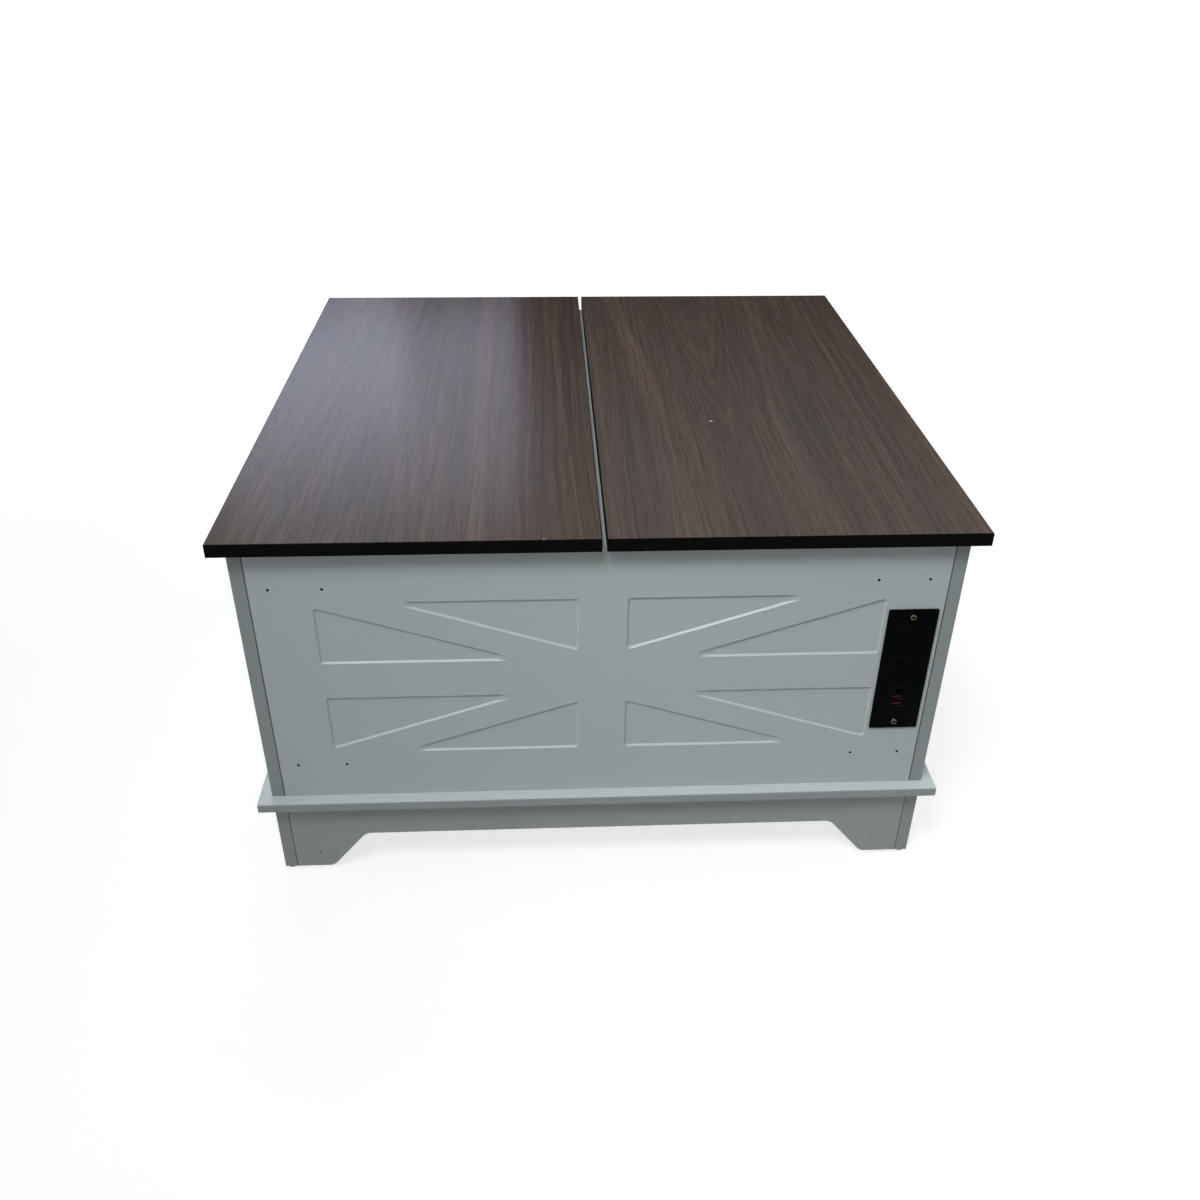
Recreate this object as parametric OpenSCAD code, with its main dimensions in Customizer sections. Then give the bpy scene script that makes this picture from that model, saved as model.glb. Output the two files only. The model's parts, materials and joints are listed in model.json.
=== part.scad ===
// Square storage coffee table: a white panelled case with two dark flip-up lids on a bracket-foot plinth.
// The origin is on the floor under the middle of the top, front towards -Y, up towards +Z.

/* [Top] */
// Width of the top over both lids
table_w = 800; // [700:5:900]
// Depth of the top, front to back
table_d = 800; // [700:5:900]
// Thickness of a lid
lid_t = 15; // [12:1:25]
// Gap between the two lids
lid_gap = 5; // [3:0.5:10]
// How far the lids reach past the case on every side
lid_overhang = 15; // [10:1:30]
// Height of the gap between the case and the closed lids
lid_lift = 1.5; // [1.5:0.1:3]
// Thickness of the edge band round a lid
band_t = 1; // [0.6:0.1:2]

/* [Case] */
// Thickness of the case and skirt boards
board_t = 15; // [12:1:20]
// Height of the case panels
panel_h = 330; // [280:5:400]
// Chamfer on the edges of the boards
ease = 0.5; // [0.2:0.1:1.5]
// Radius of the soft bumpers under the lids
bumper_r = 4; // [2.5:0.5:6]
// Distance of the outer bumpers from the middle of the table
bumper_outer_x = 300; // [250:5:320]
// Distance of the inner bumpers from the middle of the table
bumper_inner_x = 60; // [30:5:120]

/* [Plinth and feet] */
// Thickness of the plinth board, which is also the storage floor
plinth_t = 12; // [10:1:20]
// How far the plinth board stands out from the case
plinth_out = 15; // [8:1:25]
// Height of the skirts under the plinth board
skirt_h = 102; // [85:1:130]
// Height of the arched cut-out between two feet
arch_h = 52; // [30:1:65]
// Width of a foot, from the corner of the case to its toe
foot_w = 59; // [50:1:90]
// Slope of the cut-out beside a foot, in degrees
arch_angle = 50; // [40:1:65]
// Radius of the cut-out's corners
arch_r = 15; // [6:1:18]
// Height of a foot glide
glide_h = 4.5; // [3:0.5:8]
// Radius of a foot glide
glide_r = 7; // [5:0.5:7.5]
// Distance of a glide from the front or back of the case
glide_inset = 9; // [8:1:20]
// Leg of the triangular corner blocks
block_leg = 40; // [25:1:60]
// Height of the corner blocks
block_h = 42; // [25:1:48]
// Width and height of the cleats between the corner blocks
cleat = 15; // [10:1:20]
// Height of the stretcher under the middle of the floor
stretcher_h = 48; // [30:1:60]

/* [Routed pattern] */
// Distance from the corner of the case to the pattern
pattern_side = 79; // [60:1:110]
// Distance from the top and bottom of a panel to the pattern
pattern_edge = 63.5; // [50:0.5:80]
// Width of the plain stile down the middle
stile_w = 52; // [30:1:90]
// Height of the plain rail across the middle
rail_h = 46; // [30:1:80]
// Width of the slanting braces
brace_w = 29; // [18:1:34]
// Slope of the braces, in degrees
brace_angle = 18.2; // [15:0.1:20]
// How far a brace lies towards the top or bottom from the middle of its cell
brace_shift = 2.8; // [0:0.1:5]
// Depth of the routed triangles
rout_depth = 2; // [1:0.5:4]
// Width of the bevel round a routed triangle
rout_bevel = 2; // [1:0.5:4]
// Corner radius of the routed triangles
rout_r = 3.5; // [1.5:0.5:4]

/* [Pilot holes] */
// Radius of the pilot holes in the front panel
pilot_r = 1.5; // [1:0.1:2.5]
// Depth of the pilot holes
pilot_depth = 8; // [5:1:12]
// Distance between the two holes of a pair
pilot_pitch = 55.5; // [40:0.5:64]
// Distance from the end of the front panel to the outer hole of a pair
pilot_end = 21.5; // [15:0.5:30]
// Distance from the top and bottom of the panel to the holes
pilot_edge = 46.5; // [40:0.5:58]
// Radius of the single pilot hole in the left front foot
foot_pilot_r = 1; // [0.6:0.1:2]
// Distance of that hole from the corner of the case
foot_pilot_in = 45; // [30:1:48]
// Height of that hole above the bottom of the skirt
foot_pilot_up = 23; // [15:1:40]

/* [Fittings] */
// Distance of the cam locks from the top and bottom of a panel
cam_edge = 55; // [45:1:65]
// Distance from the end of a panel to the middle of a cam lock
cam_setback = 34; // [24:1:36]
// Radius of a cam lock
cam_r = 7.4; // [6:0.1:8]
// Length of a cam lock
cam_len = 12; // [9:0.5:12]
// Radius of the thread of a cam bolt
bolt_r = 2.5; // [2:0.1:3]
// Depth of the thread in the side panel
bolt_depth = 11; // [8:0.5:11.5]
// Distance of the wooden dowels from the top and bottom of a panel
dowel_edge = 25; // [18:1:32]
// Radius of a wooden dowel
dowel_r = 4; // [3:0.5:5]
// Length of a wooden dowel
dowel_len = 30; // [24:1:36]
// Depth of a dowel in the face that it stands in
dowel_in_face = 10; // [7:0.5:11]
// Distance of the floor screws from the corner of the case
floor_screw_in = 120; // [90:5:200]
// Length of a floor screw
floor_screw_len = 45; // [35:1:60]
// Radius of a floor screw's shank
floor_screw_r = 2.4; // [2:0.1:3]
// Clearance round fittings in their holes
fit = 0.05; // [0.02:0.01:0.1]

/* [Lid hinges] */
// Distance from the middle hinge to the ones in front and behind
hinge_pitch = 280; // [240:5:320]
// Thickness of a hinge leaf
leaf_t = 1.2; // [1:0.1:1.4]
// Radius of a knuckle
knuckle_r = 3; // [2.5:0.1:4]
// Radius of a hinge pin
hinge_pin_r = 1.5; // [1:0.1:1.8]
// Length of the lid leaf's knuckle
mid_knuckle = 24; // [16:1:40]
// Length of each fixed knuckle
end_knuckle = 18; // [12:1:30]
// Gap between neighbouring knuckles, and from the barrel to the wood
knuckle_gap = 0.5; // [0.3:0.1:1]
// Distance of the lid leaf's free edge from the case's outer face
lid_leaf_w = 24; // [18:1:40]
// Radius of the screw holes in the leaves
leaf_hole_r = 1.5; // [1.2:0.1:1.8]

/* [Gas struts] */
// Distance of a strut from the middle of the table, front to back
strut_y = 180; // [120:5:230]
// Distance from the top of the case down to the lower pivot
strut_drop = 215; // [200:1:235]
// Distance from the side panel's inner face to the lower pivot
strut_off = 20; // [19:0.5:24]
// Distance from the hinge pin to the lid pivot, along the lid
lid_reach = 110; // [100:1:115]
// Distance from the lid's underside down to the lid pivot
lid_drop = 22; // [20:0.5:25]
// Radius of a strut tube
tube_r = 7.5; // [6:0.1:8]
// Wall of a strut tube
tube_wall = 1; // [0.6:0.1:1.5]
// Radius of a strut rod
rod_r = 3; // [2.5:0.1:4]
// Radius of the eyes at the ends of a strut
eye_r = 6; // [5:0.1:7]
// Width of the eyes
eye_w = 8; // [6:0.5:9]
// Radius of the pivot pins
pivot_r = 2; // [1.5:0.1:2.5]
// Thickness of the strut brackets
bracket_t = 2; // [1.5:0.1:3]
// Length of a bracket's foot
bracket_len = 44; // [34:1:60]
// Radius of the screw holes in the brackets
bracket_hole_r = 1.9; // [1.5:0.1:2.2]
// Distance of those holes from the ends of a bracket's foot
bracket_hole_in = 7; // [5:0.5:8]
// Gap between an eye and its bracket
eye_gap = 0.4; // [0.3:0.1:0.8]

/* [Power outlet] */
// Distance from the faceplate's side to the side panel
plate_side_gap = 5.5; // [1:0.5:20]
// How far the faceplate reaches past the housing at each side
plate_rim = 5.5; // [3:0.5:12]
// Distance from the end of the housing to a faceplate screw
plate_screw_out = 7.75; // [5:0.25:12]
// Distance from a faceplate screw to the end of the plate
plate_screw_end = 9.25; // [5:0.25:15]
// Thickness of the faceplate
plate_t = 2; // [1.5:0.5:4]
// Corner radius of the faceplate
plate_r = 1.5; // [1:0.5:4]
// How far the housing reaches into the case behind the panel
housing_reach = 21; // [18:1:35]
// Wall of the housing
housing_wall = 2; // [1.5:0.5:3]
// Distance from the side of a socket to the side of the housing
socket_side_gap = 5.5; // [3:0.5:10]
// Distance from the upper socket to the top of the housing
socket_top_gap = 12; // [4:0.5:20]
// Width of a mains socket's face
socket_w = 33; // [28:0.5:40]
// Height of a mains socket's face
socket_h = 25; // [22:0.5:32]
// Depth of a mains socket
socket_d = 22; // [18:1:28]
// Gap between the two sockets
socket_gap = 10.5; // [3:0.5:20]
// Gap between the lower socket and the block of charging ports
port_gap = 11; // [3:0.5:20]
// Distance from the block of charging ports to the bottom of the housing
port_end_gap = 8.5; // [4:0.5:20]
// Distance between the charging ports' middles
port_pitch = 10; // [8:0.5:14]
// Width of a large charging port
port_w = 13; // [12:0.5:15]
// Height of a large charging port
port_h = 5.4; // [5:0.1:6]
// Radius of the hole in the floor for the outlet's lead
lead_hole_r = 12.5; // [8:0.5:15]
// Distance of that hole behind the front panel
lead_hole_in = 42; // [40:1:60]

/* [Hidden] */
$fn = 48;

// Colours
white = "#dfe4e6";
walnut = "#4b3b35";
black = "#131417";
steel = "#b9bdc2";
dark_steel = "#2b2d30";
zinc = "#a9a7a0";
brass = "#b39a5c";
beech = "#c9a878";
clear_soft = "#e9edf0";
grey_soft = "#7d8384";
red = "#c8302f";

// Heights from the floor
skirt_top = glide_h + skirt_h;
floor_z = skirt_top + plinth_t;
panel_top = floor_z + panel_h;
panel_mid = floor_z + panel_h / 2;
lid_z = panel_top + lid_lift;

// Case and lids in plan
case_w = table_w - 2 * lid_overhang;
case_d = table_d - 2 * lid_overhang;
inner_w = case_w - 2 * board_t;
inner_d = case_d - 2 * board_t;
lid_w = (table_w - lid_gap) / 2;
over = 1;

// Lid hinges: the pin runs under the lid's overhang, just outside the side panel
seat_gap = 0.3;
pin_x = case_w / 2 + knuckle_r + knuckle_gap;
pin_z = lid_z - seat_gap - knuckle_r;
barrel_len = mid_knuckle + 2 * (end_knuckle + knuckle_gap);
leaf_setback = 1;
fixed_leaf_w = board_t - leaf_setback;

// Gas struts: the lower pivot B and the closed lid pivot L, on the right side
base_x = inner_w / 2 - strut_off;
base_z = panel_top - strut_drop;
lid_pivot_x = pin_x - lid_reach;
lid_pivot_z = lid_z - lid_drop;
strut_closed = norm([lid_pivot_x - base_x, lid_pivot_z - base_z]);
strut_lean = atan2(base_x - lid_pivot_x, lid_pivot_z - base_z);
tube_neck = 10;
tube_start = eye_r + tube_neck;
tube_floor = 3;
tube_cap = 7;
rod_show = 16;
rod_neck = 12;
tube_end = strut_closed - eye_r - rod_show;
piston_z = tube_start + tube_floor + 2;
piston_len = 8;
piston_gap = 0.2;
ear_r = eye_r + 1;
pin_head_r = pivot_r + 1.2;
pin_head_t = 1.2;

// Fittings
cam_pocket_r = cam_r + 0.1;
cam_pocket_len = cam_len + 0.4;
bolt_collar_r = bolt_r + 1;
bolt_collar_len = 2;
bolt_shaft_r = bolt_r - 0.6;
bolt_head_r = bolt_r + 0.6;
bolt_head_len = 4;
bolt_channel_r = bolt_collar_r + 0.4;
cam_slot_w = 1.2;
cam_slot_depth = 1.6;
cam_heights = [cam_edge, panel_h - cam_edge];
dowel_heights = [dowel_edge, panel_h - dowel_edge];
screw_head_r = floor_screw_r + 2.4;
screw_head_len = 3.5;
nail_r = 1;
nail_len = 12;
glide_edge = 1.5;
block_nose = 5;
cleat_gap = 1;
screw_spots = concat(
    [for (sx = [-1, 1], sy = [-1, 1]) [sx * (case_w / 2 - floor_screw_in), sy * (case_d - board_t) / 2]],
    [for (sx = [-1, 1], sy = [-1, 1]) [sx * (case_w - board_t) / 2, sy * (case_d / 2 - floor_screw_in)]],
    [for (sy = [-1, 1]) [0, sy * (case_d / 2 - floor_screw_in)]]);

// Power outlet, worked out from the top of the housing down. The heights are from the plate's middle.
port_side = 4;
port_end = 3;
port_block = [port_w + 2 * port_side, 3 * port_pitch + 2 * port_end, 18];
housing_w = socket_w + 2 * socket_side_gap;
housing_h = socket_top_gap + 2 * socket_h + socket_gap + port_gap + port_block.y + port_end_gap;
housing_d = board_t + housing_reach;
plate_screw_pitch = housing_h + 2 * plate_screw_out;
plate_w = housing_w + 2 * plate_rim;
plate_h = plate_screw_pitch + 2 * plate_screw_end;
outlet_x = inner_w / 2 - plate_side_gap - plate_w / 2;
face_y = -case_d / 2;
housing_gap = 1;
plate_screw_r = 1.7;
plate_screw_len = 12;
plate_head_r = 3.4;
plate_head_len = 1.4;
plate_head_taper = 0.6;
plate_recess_r = 1.6;
socket_sink = 0.5;
upper_socket_up = (housing_h - socket_h) / 2 - socket_top_gap;
socket_heights = [upper_socket_up, upper_socket_up - socket_h - socket_gap];
port_block_up = (port_block.y - housing_h) / 2 + port_end_gap;
port_heights = [port_block_up - port_pitch, port_block_up];
small_port_up = port_block_up + port_pitch;
small_port_w = 9;
small_port_h = 3.2;
small_port_r = 1.5;
port_depth = 12;
tongue_t = 2;
tongue_side_gap = 1;
tongue_sink = 1;
blade_gap = 12.7;
blade_w = 7.5;
blade_t = 1.9;
blade_x = -5.5;
earth_x = 6.4;
earth_r = 2.5;
slot_depth = 14;
gland_r = 6;
gland_bore_r = 3.5;
gland_neck_r = gland_bore_r + 1;
gland_neck_len = housing_wall + 3;
gland_len = 8;
gland_gap = 1;
gland_y = face_y + housing_d - housing_wall - gland_gap - gland_r;
lead_hole_y = face_y + board_t + lead_hole_in;
grommet_wall = 3;
grommet_flange = 3;
grommet_flange_t = 1.5;

// Basic shapes

// Rectangle from corner a to corner b with its corners cut at 45 degrees
module cut_rect(a, b, e) {
    polygon([[a.x + e, a.y], [b.x - e, a.y], [b.x, a.y + e], [b.x, b.y - e],
        [b.x - e, b.y], [a.x + e, b.y], [a.x, b.y - e], [a.x, a.y + e]]);
}

// Board from corner lo to corner hi with every edge chamfered
module board(lo, hi, e = ease) {
    intersection() {
        translate([0, 0, lo.z]) linear_extrude(hi.z - lo.z) cut_rect([lo.x, lo.y], [hi.x, hi.y], e);
        translate([0, hi.y, 0]) rotate([90, 0, 0])
            linear_extrude(hi.y - lo.y) cut_rect([lo.x, lo.z], [hi.x, hi.z], e);
        translate([lo.x, 0, 0]) rotate([90, 0, 90])
            linear_extrude(hi.x - lo.x) cut_rect([lo.y, lo.z], [hi.y, hi.z], e);
    }
}

// Rectangle centred on the origin with round corners
module round_rect(w, h, r) {
    square([w - 2 * r, h], center = true);
    square([w, h - 2 * r], center = true);
    for (sx = [-1, 1], sy = [-1, 1]) translate([sx * (w / 2 - r), sy * (h / 2 - r)]) circle(r);
}

// Cylinder lying along Y, centred on the origin
module y_rod(r, len) {
    rotate([90, 0, 0]) cylinder(h = len, r = r, center = true);
}

// Countersunk hole through a plate of thickness t that lies on Z = 0, its wide end up
module sunk_hole(t, r) {
    translate([0, 0, -over]) cylinder(h = t + 2 * over, r = r);
    cylinder(h = t + over, r1 = r, r2 = r + t + over);
}

// Turns the front of the case to side 0 front, 1 right, 2 back, 3 left
module on_side(side) {
    rotate([0, 0, 90 * side]) children();
}

// Routed pattern

// One routed right-angled triangle: its corner at c, its legs a along X and b along Y,
// sunk below Z = 0. The taper is drawn about the incentre, so the bevel is even all round.
module routed_triangle(c, a, b) {
    sa = sign(a);
    sb = sign(b);
    inradius = (abs(a) + abs(b) - norm([a, b])) / 2;
    incentre = [sa * inradius, sb * inradius];
    floor_share = (inradius - rout_bevel) / inradius;
    mouth = inradius + over * rout_bevel / rout_depth;
    corners = [[0, 0], [a, 0], [0, b]];
    translate([c.x + incentre.x, c.y + incentre.y, -rout_depth])
        linear_extrude(rout_depth + over, scale = mouth / (inradius - rout_bevel))
            offset(r = rout_r, $fn = 20) offset(delta = -rout_r)
                polygon([for (p = corners) floor_share * (p - incentre)]);
}

// The eight triangles that leave the stile, the rail and the four braces standing.
// X runs along a case side of the given length, Y up from the middle of the panel.
module routed_pattern(side_len) {
    outer = side_len / 2 - pattern_side;
    inner = stile_w / 2;
    low = rail_h / 2;
    high = panel_h / 2 - pattern_edge;
    slope = tan(brace_angle);
    half_brace = brace_w / 2 / cos(brace_angle);
    mid_x = (outer + inner) / 2;
    mid_y = (low + high) / 2 + brace_shift;
    outer_leg_y = mid_y + (outer - mid_x) * slope - half_brace - low;
    inner_leg_y = high - (mid_y + (inner - mid_x) * slope + half_brace);
    for (sx = [0, 1], sy = [0, 1])
        mirror([sx, 0, 0]) mirror([0, sy, 0]) {
            routed_triangle([outer, low], -outer_leg_y / slope, outer_leg_y);
            routed_triangle([inner, high], inner_leg_y / slope, -inner_leg_y);
        }
}

// Cuts the pattern into the outer face of the front panel
module front_pattern() {
    translate([0, face_y, panel_mid]) rotate([90, 0, 0]) routed_pattern(case_w);
}

// Cuts the pattern into the outer face of the right panel
module right_pattern() {
    translate([case_w / 2, 0, panel_mid]) on_side(1) rotate([90, 0, 0]) routed_pattern(case_d);
}

// Joints of the case. X runs into the panel whose end is joined, Z points at its inner face.

// At each end of the front (0) and back (1) panels, at the given heights
module at_corner_joints(heights, ends = [0, 1], faces = [0, 1]) {
    for (end = ends, face = faces, h = heights)
        mirror([end, 0, 0]) mirror([0, face, 0])
            translate([-inner_w / 2, (board_t - case_d) / 2, floor_z + h]) rotate([-90, 0, 0]) children();
}

// At the front (0) and back (1) ends of the divider, at the given heights
module at_divider_joints(heights, faces = [0, 1]) {
    for (face = faces, h = heights)
        mirror([0, face, 0]) translate([0, -inner_d / 2, floor_z + h])
            rotate([0, 0, 90]) rotate([-90, 0, 0]) children();
}

// Hole for a cam bolt's thread in the face that it stands in
module bolt_hole() {
    translate([over, 0, 0]) rotate([0, -90, 0]) cylinder(h = bolt_depth + over + fit, r = bolt_r + fit);
}

// Pocket for a cam lock and the channel that its bolt comes in by
module cam_pocket() {
    translate([cam_setback, 0, board_t / 2 - cam_pocket_len])
        cylinder(h = cam_pocket_len + over, r = cam_pocket_r);
    translate([-over, 0, 0]) rotate([0, 90, 0]) cylinder(h = cam_setback + over, r = bolt_channel_r);
}

// Hole for a dowel, shared between the face and the end
module dowel_hole() {
    translate([-dowel_in_face - fit, 0, 0]) rotate([0, 90, 0])
        cylinder(h = dowel_len + 2 * fit, r = dowel_r + fit);
}

// Cam lock: a disc with the channel for the bolt's head and a cross slot in its face
module cam_lock() {
    slot = [0.7 * cam_r, cam_slot_w, 2 * cam_slot_depth];
    difference() {
        translate([cam_setback, 0, board_t / 2 - cam_pocket_len + fit]) cylinder(h = cam_len, r = cam_r);
        rotate([0, 90, 0]) cylinder(h = cam_setback + bolt_head_r, r = bolt_channel_r);
        for (turn = [0, 90])
            translate([cam_setback, 0, board_t / 2 - cam_pocket_len + fit + cam_len])
                rotate([0, 0, turn]) cube(slot, center = true);
    }
}

// Cam bolt: thread, collar, shaft and head in one turned piece
module cam_bolt() {
    head_end = cam_setback + bolt_head_len / 2;
    rotate([0, 90, 0]) rotate_extrude() polygon([[0, -bolt_depth], [bolt_r, -bolt_depth], [bolt_r, 0],
        [bolt_collar_r, 0], [bolt_collar_r, bolt_collar_len], [bolt_shaft_r, bolt_collar_len],
        [bolt_shaft_r, head_end - bolt_head_len], [bolt_head_r, head_end - bolt_head_len],
        [bolt_head_r, head_end], [0, head_end]]);
}

// Countersunk screw, head down at Z = 0, or its hole when it is grown by a clearance
module countersunk(shank_r, head_r, head_len, len, grow = 0) {
    rotate_extrude() polygon([[0, -grow], [head_r + grow, -grow], [shank_r + grow, head_len + grow],
        [shank_r + grow, len + grow], [0, len + grow]]);
}

// Screws up through the plinth board into the lower edges of the case boards
module floor_screw_holes() {
    for (spot = screw_spots) translate([spot.x, spot.y, skirt_top])
        countersunk(floor_screw_r, screw_head_r, screw_head_len, floor_screw_len, fit);
}

// Case

module front_blank() {
    difference() {
        board([-inner_w / 2, face_y, floor_z], [inner_w / 2, face_y + board_t, panel_top]);
        front_pattern();
        at_corner_joints(cam_heights, faces = [0]) cam_pocket();
        at_corner_joints(dowel_heights, faces = [0]) dowel_hole();
        at_divider_joints(cam_heights, faces = [0]) bolt_hole();
        at_divider_joints(dowel_heights, faces = [0]) dowel_hole();
        floor_screw_holes();
    }
}

module front_panel() {
    color(white) difference() {
        front_blank();
        translate([outlet_x, face_y, panel_mid]) {
            cube([housing_w + housing_gap, 2 * board_t + over, housing_h + housing_gap], center = true);
            for (sz = [-1, 1]) translate([0, 0, sz * plate_screw_pitch / 2])
                y_rod(plate_screw_r + fit, 2 * (plate_screw_len - plate_t + fit));
        }
        for (sx = [-1, 1], sz = [-1, 1], step = [0, 1])
            translate([sx * (inner_w / 2 - pilot_end - step * pilot_pitch), face_y,
                panel_mid + sz * (panel_h / 2 - pilot_edge)]) y_rod(pilot_r, 2 * pilot_depth);
    }
}

module back_panel() {
    color(white) on_side(2) front_blank();
}

module right_blank() {
    difference() {
        board([inner_w / 2, -case_d / 2, floor_z], [case_w / 2, case_d / 2, panel_top]);
        right_pattern();
        at_corner_joints(cam_heights, ends = [1]) bolt_hole();
        at_corner_joints(dowel_heights, ends = [1]) dowel_hole();
        floor_screw_holes();
    }
}

module right_panel() {
    color(white) right_blank();
}

module left_panel() {
    color(white) mirror([1, 0, 0]) right_blank();
}

module centre_divider() {
    color(white) difference() {
        board([-board_t / 2, -inner_d / 2, floor_z], [board_t / 2, inner_d / 2, panel_top]);
        at_divider_joints(cam_heights) cam_pocket();
        at_divider_joints(dowel_heights) dowel_hole();
        floor_screw_holes();
    }
}

module plinth_board() {
    half = [case_w / 2 + plinth_out, case_d / 2 + plinth_out];
    color(white) difference() {
        board([-half.x, -half.y, skirt_top], [half.x, half.y, floor_z], 2 * ease);
        floor_screw_holes();
        translate([outlet_x, lead_hole_y, skirt_top - over])
            cylinder(h = plinth_t + 2 * over, r = lead_hole_r);
    }
}

// Plinth skirts

// Right half of the opening between two feet. Y is the height above the bottom of the skirt.
module half_arch(side_len) {
    toe = [side_len / 2 - foot_w, 0];
    crown = [toe.x - arch_h / tan(arch_angle), arch_h];
    rise = [-cos(arch_angle), sin(arch_angle)];
    reach = arch_r * tan(arch_angle / 2);
    difference() {
        polygon([[0, -over], [toe.x + reach, -over], [toe.x + reach, 0], toe + reach * rise,
            crown - reach * rise, [crown.x - reach, arch_h], [0, arch_h]]);
        translate([toe.x + reach, arch_r]) circle(arch_r);
    }
    translate([crown.x - reach, arch_h - arch_r]) circle(arch_r);
}

// Skirt of the given length under a case side, its outer face on Y = 0 and its foot on Z = 0
module skirt(side_len, board_len) {
    difference() {
        board([-board_len / 2, 0, 0], [board_len / 2, board_t, skirt_h]);
        for (end = [0, 1]) mirror([end, 0, 0])
            translate([0, board_t + over, 0]) rotate([90, 0, 0])
                linear_extrude(board_t + 2 * over) half_arch(side_len);
    }
}

module front_skirt() {
    color(white) difference() {
        translate([0, face_y, glide_h]) skirt(case_w, inner_w);
        translate([foot_pilot_in - case_w / 2, face_y, glide_h + foot_pilot_up])
            y_rod(foot_pilot_r, 2 * pilot_depth);
    }
}

module back_skirt() {
    color(white) on_side(2) translate([0, face_y, glide_h]) skirt(case_w, inner_w);
}

module side_skirt() {
    difference() {
        translate([case_w / 2, 0, glide_h]) on_side(1) skirt(case_d, case_d);
        at_glides() cylinder(h = glide_h + nail_len + fit, r = nail_r + fit);
    }
}

module right_skirt() {
    color(white) side_skirt();
}

module left_skirt() {
    color(white) mirror([1, 0, 0]) side_skirt();
}

module centre_stretcher() {
    color(white) board([-board_t / 2, -inner_d / 2, skirt_top - stretcher_h],
        [board_t / 2, inner_d / 2, skirt_top]);
}

module corner_blocks() {
    color(beech) for (sx = [0, 1], sy = [0, 1])
        mirror([sx, 0, 0]) mirror([0, sy, 0])
            translate([inner_w / 2, inner_d / 2, skirt_top - block_h]) linear_extrude(block_h)
                polygon([[0, 0], [-block_leg, 0], [-block_leg, -block_nose], [-block_nose, -block_leg],
                    [0, -block_leg]]);
}

module skirt_cleats() {
    long = inner_w / 2 - block_leg - board_t / 2 - 2 * cleat_gap;
    side = inner_d - 2 * (block_leg + cleat_gap);
    color(beech) {
        for (sx = [-1, 1], sy = [-1, 1])
            translate([sx * (board_t / 2 + cleat_gap + long / 2), sy * (inner_d - cleat) / 2,
                skirt_top - cleat / 2]) cube([long, cleat, cleat], center = true);
        for (sx = [-1, 1])
            translate([sx * (inner_w - cleat) / 2, 0, skirt_top - cleat / 2])
                cube([cleat, side, cleat], center = true);
    }
}

// At the four corners, under the ends of the side skirts
module at_glides() {
    for (sx = [-1, 1], sy = [-1, 1])
        translate([sx * (case_w - board_t) / 2, sy * (case_d / 2 - glide_inset), 0]) children();
}

module foot_glides() {
    color(grey_soft) at_glides() rotate_extrude() polygon([[0, 0], [glide_r - glide_edge, 0],
        [glide_r, glide_edge], [glide_r, glide_h], [nail_r, glide_h], [nail_r, glide_h + nail_len],
        [0, glide_h + nail_len]]);
}

// Fittings

module cam_locks() {
    color(zinc) {
        at_corner_joints(cam_heights) cam_lock();
        at_divider_joints(cam_heights) cam_lock();
    }
}

module cam_bolts() {
    color(steel) {
        at_corner_joints(cam_heights) cam_bolt();
        at_divider_joints(cam_heights) cam_bolt();
    }
}

module wood_dowel() {
    translate([-dowel_in_face, 0, 0]) rotate([0, 90, 0]) cylinder(h = dowel_len, r = dowel_r);
}

module wood_dowels() {
    color(beech) {
        at_corner_joints(dowel_heights) wood_dowel();
        at_divider_joints(dowel_heights) wood_dowel();
    }
}

module floor_screws() {
    color(zinc) for (spot = screw_spots) translate([spot.x, spot.y, skirt_top])
        countersunk(floor_screw_r, screw_head_r, screw_head_len, floor_screw_len);
}

module lid_bumpers() {
    color(clear_soft) for (sx = [-1, 1], sy = [-1, 1], x = [bumper_inner_x, bumper_outer_x])
        translate([sx * x, sy * (case_d - board_t) / 2, panel_top])
            cylinder(h = lid_lift - seat_gap, r = bumper_r);
}

// Lid hinges, drawn for the right lid

module at_hinges() {
    for (y = [-hinge_pitch, 0, hinge_pitch]) translate([0, y, 0]) children();
}

// Fixed leaf: two tongues on the side panel's top edge, each rolled into an end knuckle
module fixed_leaf() {
    for (sy = [-1, 1]) translate([0, sy * (mid_knuckle / 2 + knuckle_gap + end_knuckle / 2), 0])
        difference() {
            union() {
                translate([pin_x, 0, pin_z]) y_rod(knuckle_r, end_knuckle);
                translate([case_w / 2 - fixed_leaf_w, -end_knuckle / 2, panel_top])
                    cube([pin_x - case_w / 2 + fixed_leaf_w, end_knuckle, leaf_t]);
            }
            translate([pin_x, 0, pin_z]) y_rod(hinge_pin_r + fit, end_knuckle + over);
            translate([case_w / 2 - fixed_leaf_w / 2, 0, panel_top]) sunk_hole(leaf_t, leaf_hole_r);
        }
}

// Lid leaf: one tongue under the lid, rolled into the middle knuckle
module lid_leaf() {
    difference() {
        union() {
            translate([pin_x, 0, pin_z]) y_rod(knuckle_r, mid_knuckle);
            translate([case_w / 2 - lid_leaf_w, -mid_knuckle / 2, lid_z - leaf_t])
                cube([pin_x - case_w / 2 + lid_leaf_w, mid_knuckle, leaf_t]);
        }
        translate([pin_x, 0, pin_z]) y_rod(hinge_pin_r + fit, mid_knuckle + over);
        for (sy = [-1, 1]) translate([case_w / 2 - lid_leaf_w / 2, sy * mid_knuckle / 4, lid_z])
            mirror([0, 0, 1]) sunk_hole(leaf_t, leaf_hole_r);
    }
}

module right_hinge_fixed_leaves() {
    color(steel) at_hinges() fixed_leaf();
}

module left_hinge_fixed_leaves() {
    mirror([1, 0, 0]) right_hinge_fixed_leaves();
}

module right_hinge_pins() {
    color(steel) at_hinges() translate([pin_x, 0, pin_z]) y_rod(hinge_pin_r, barrel_len);
}

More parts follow.
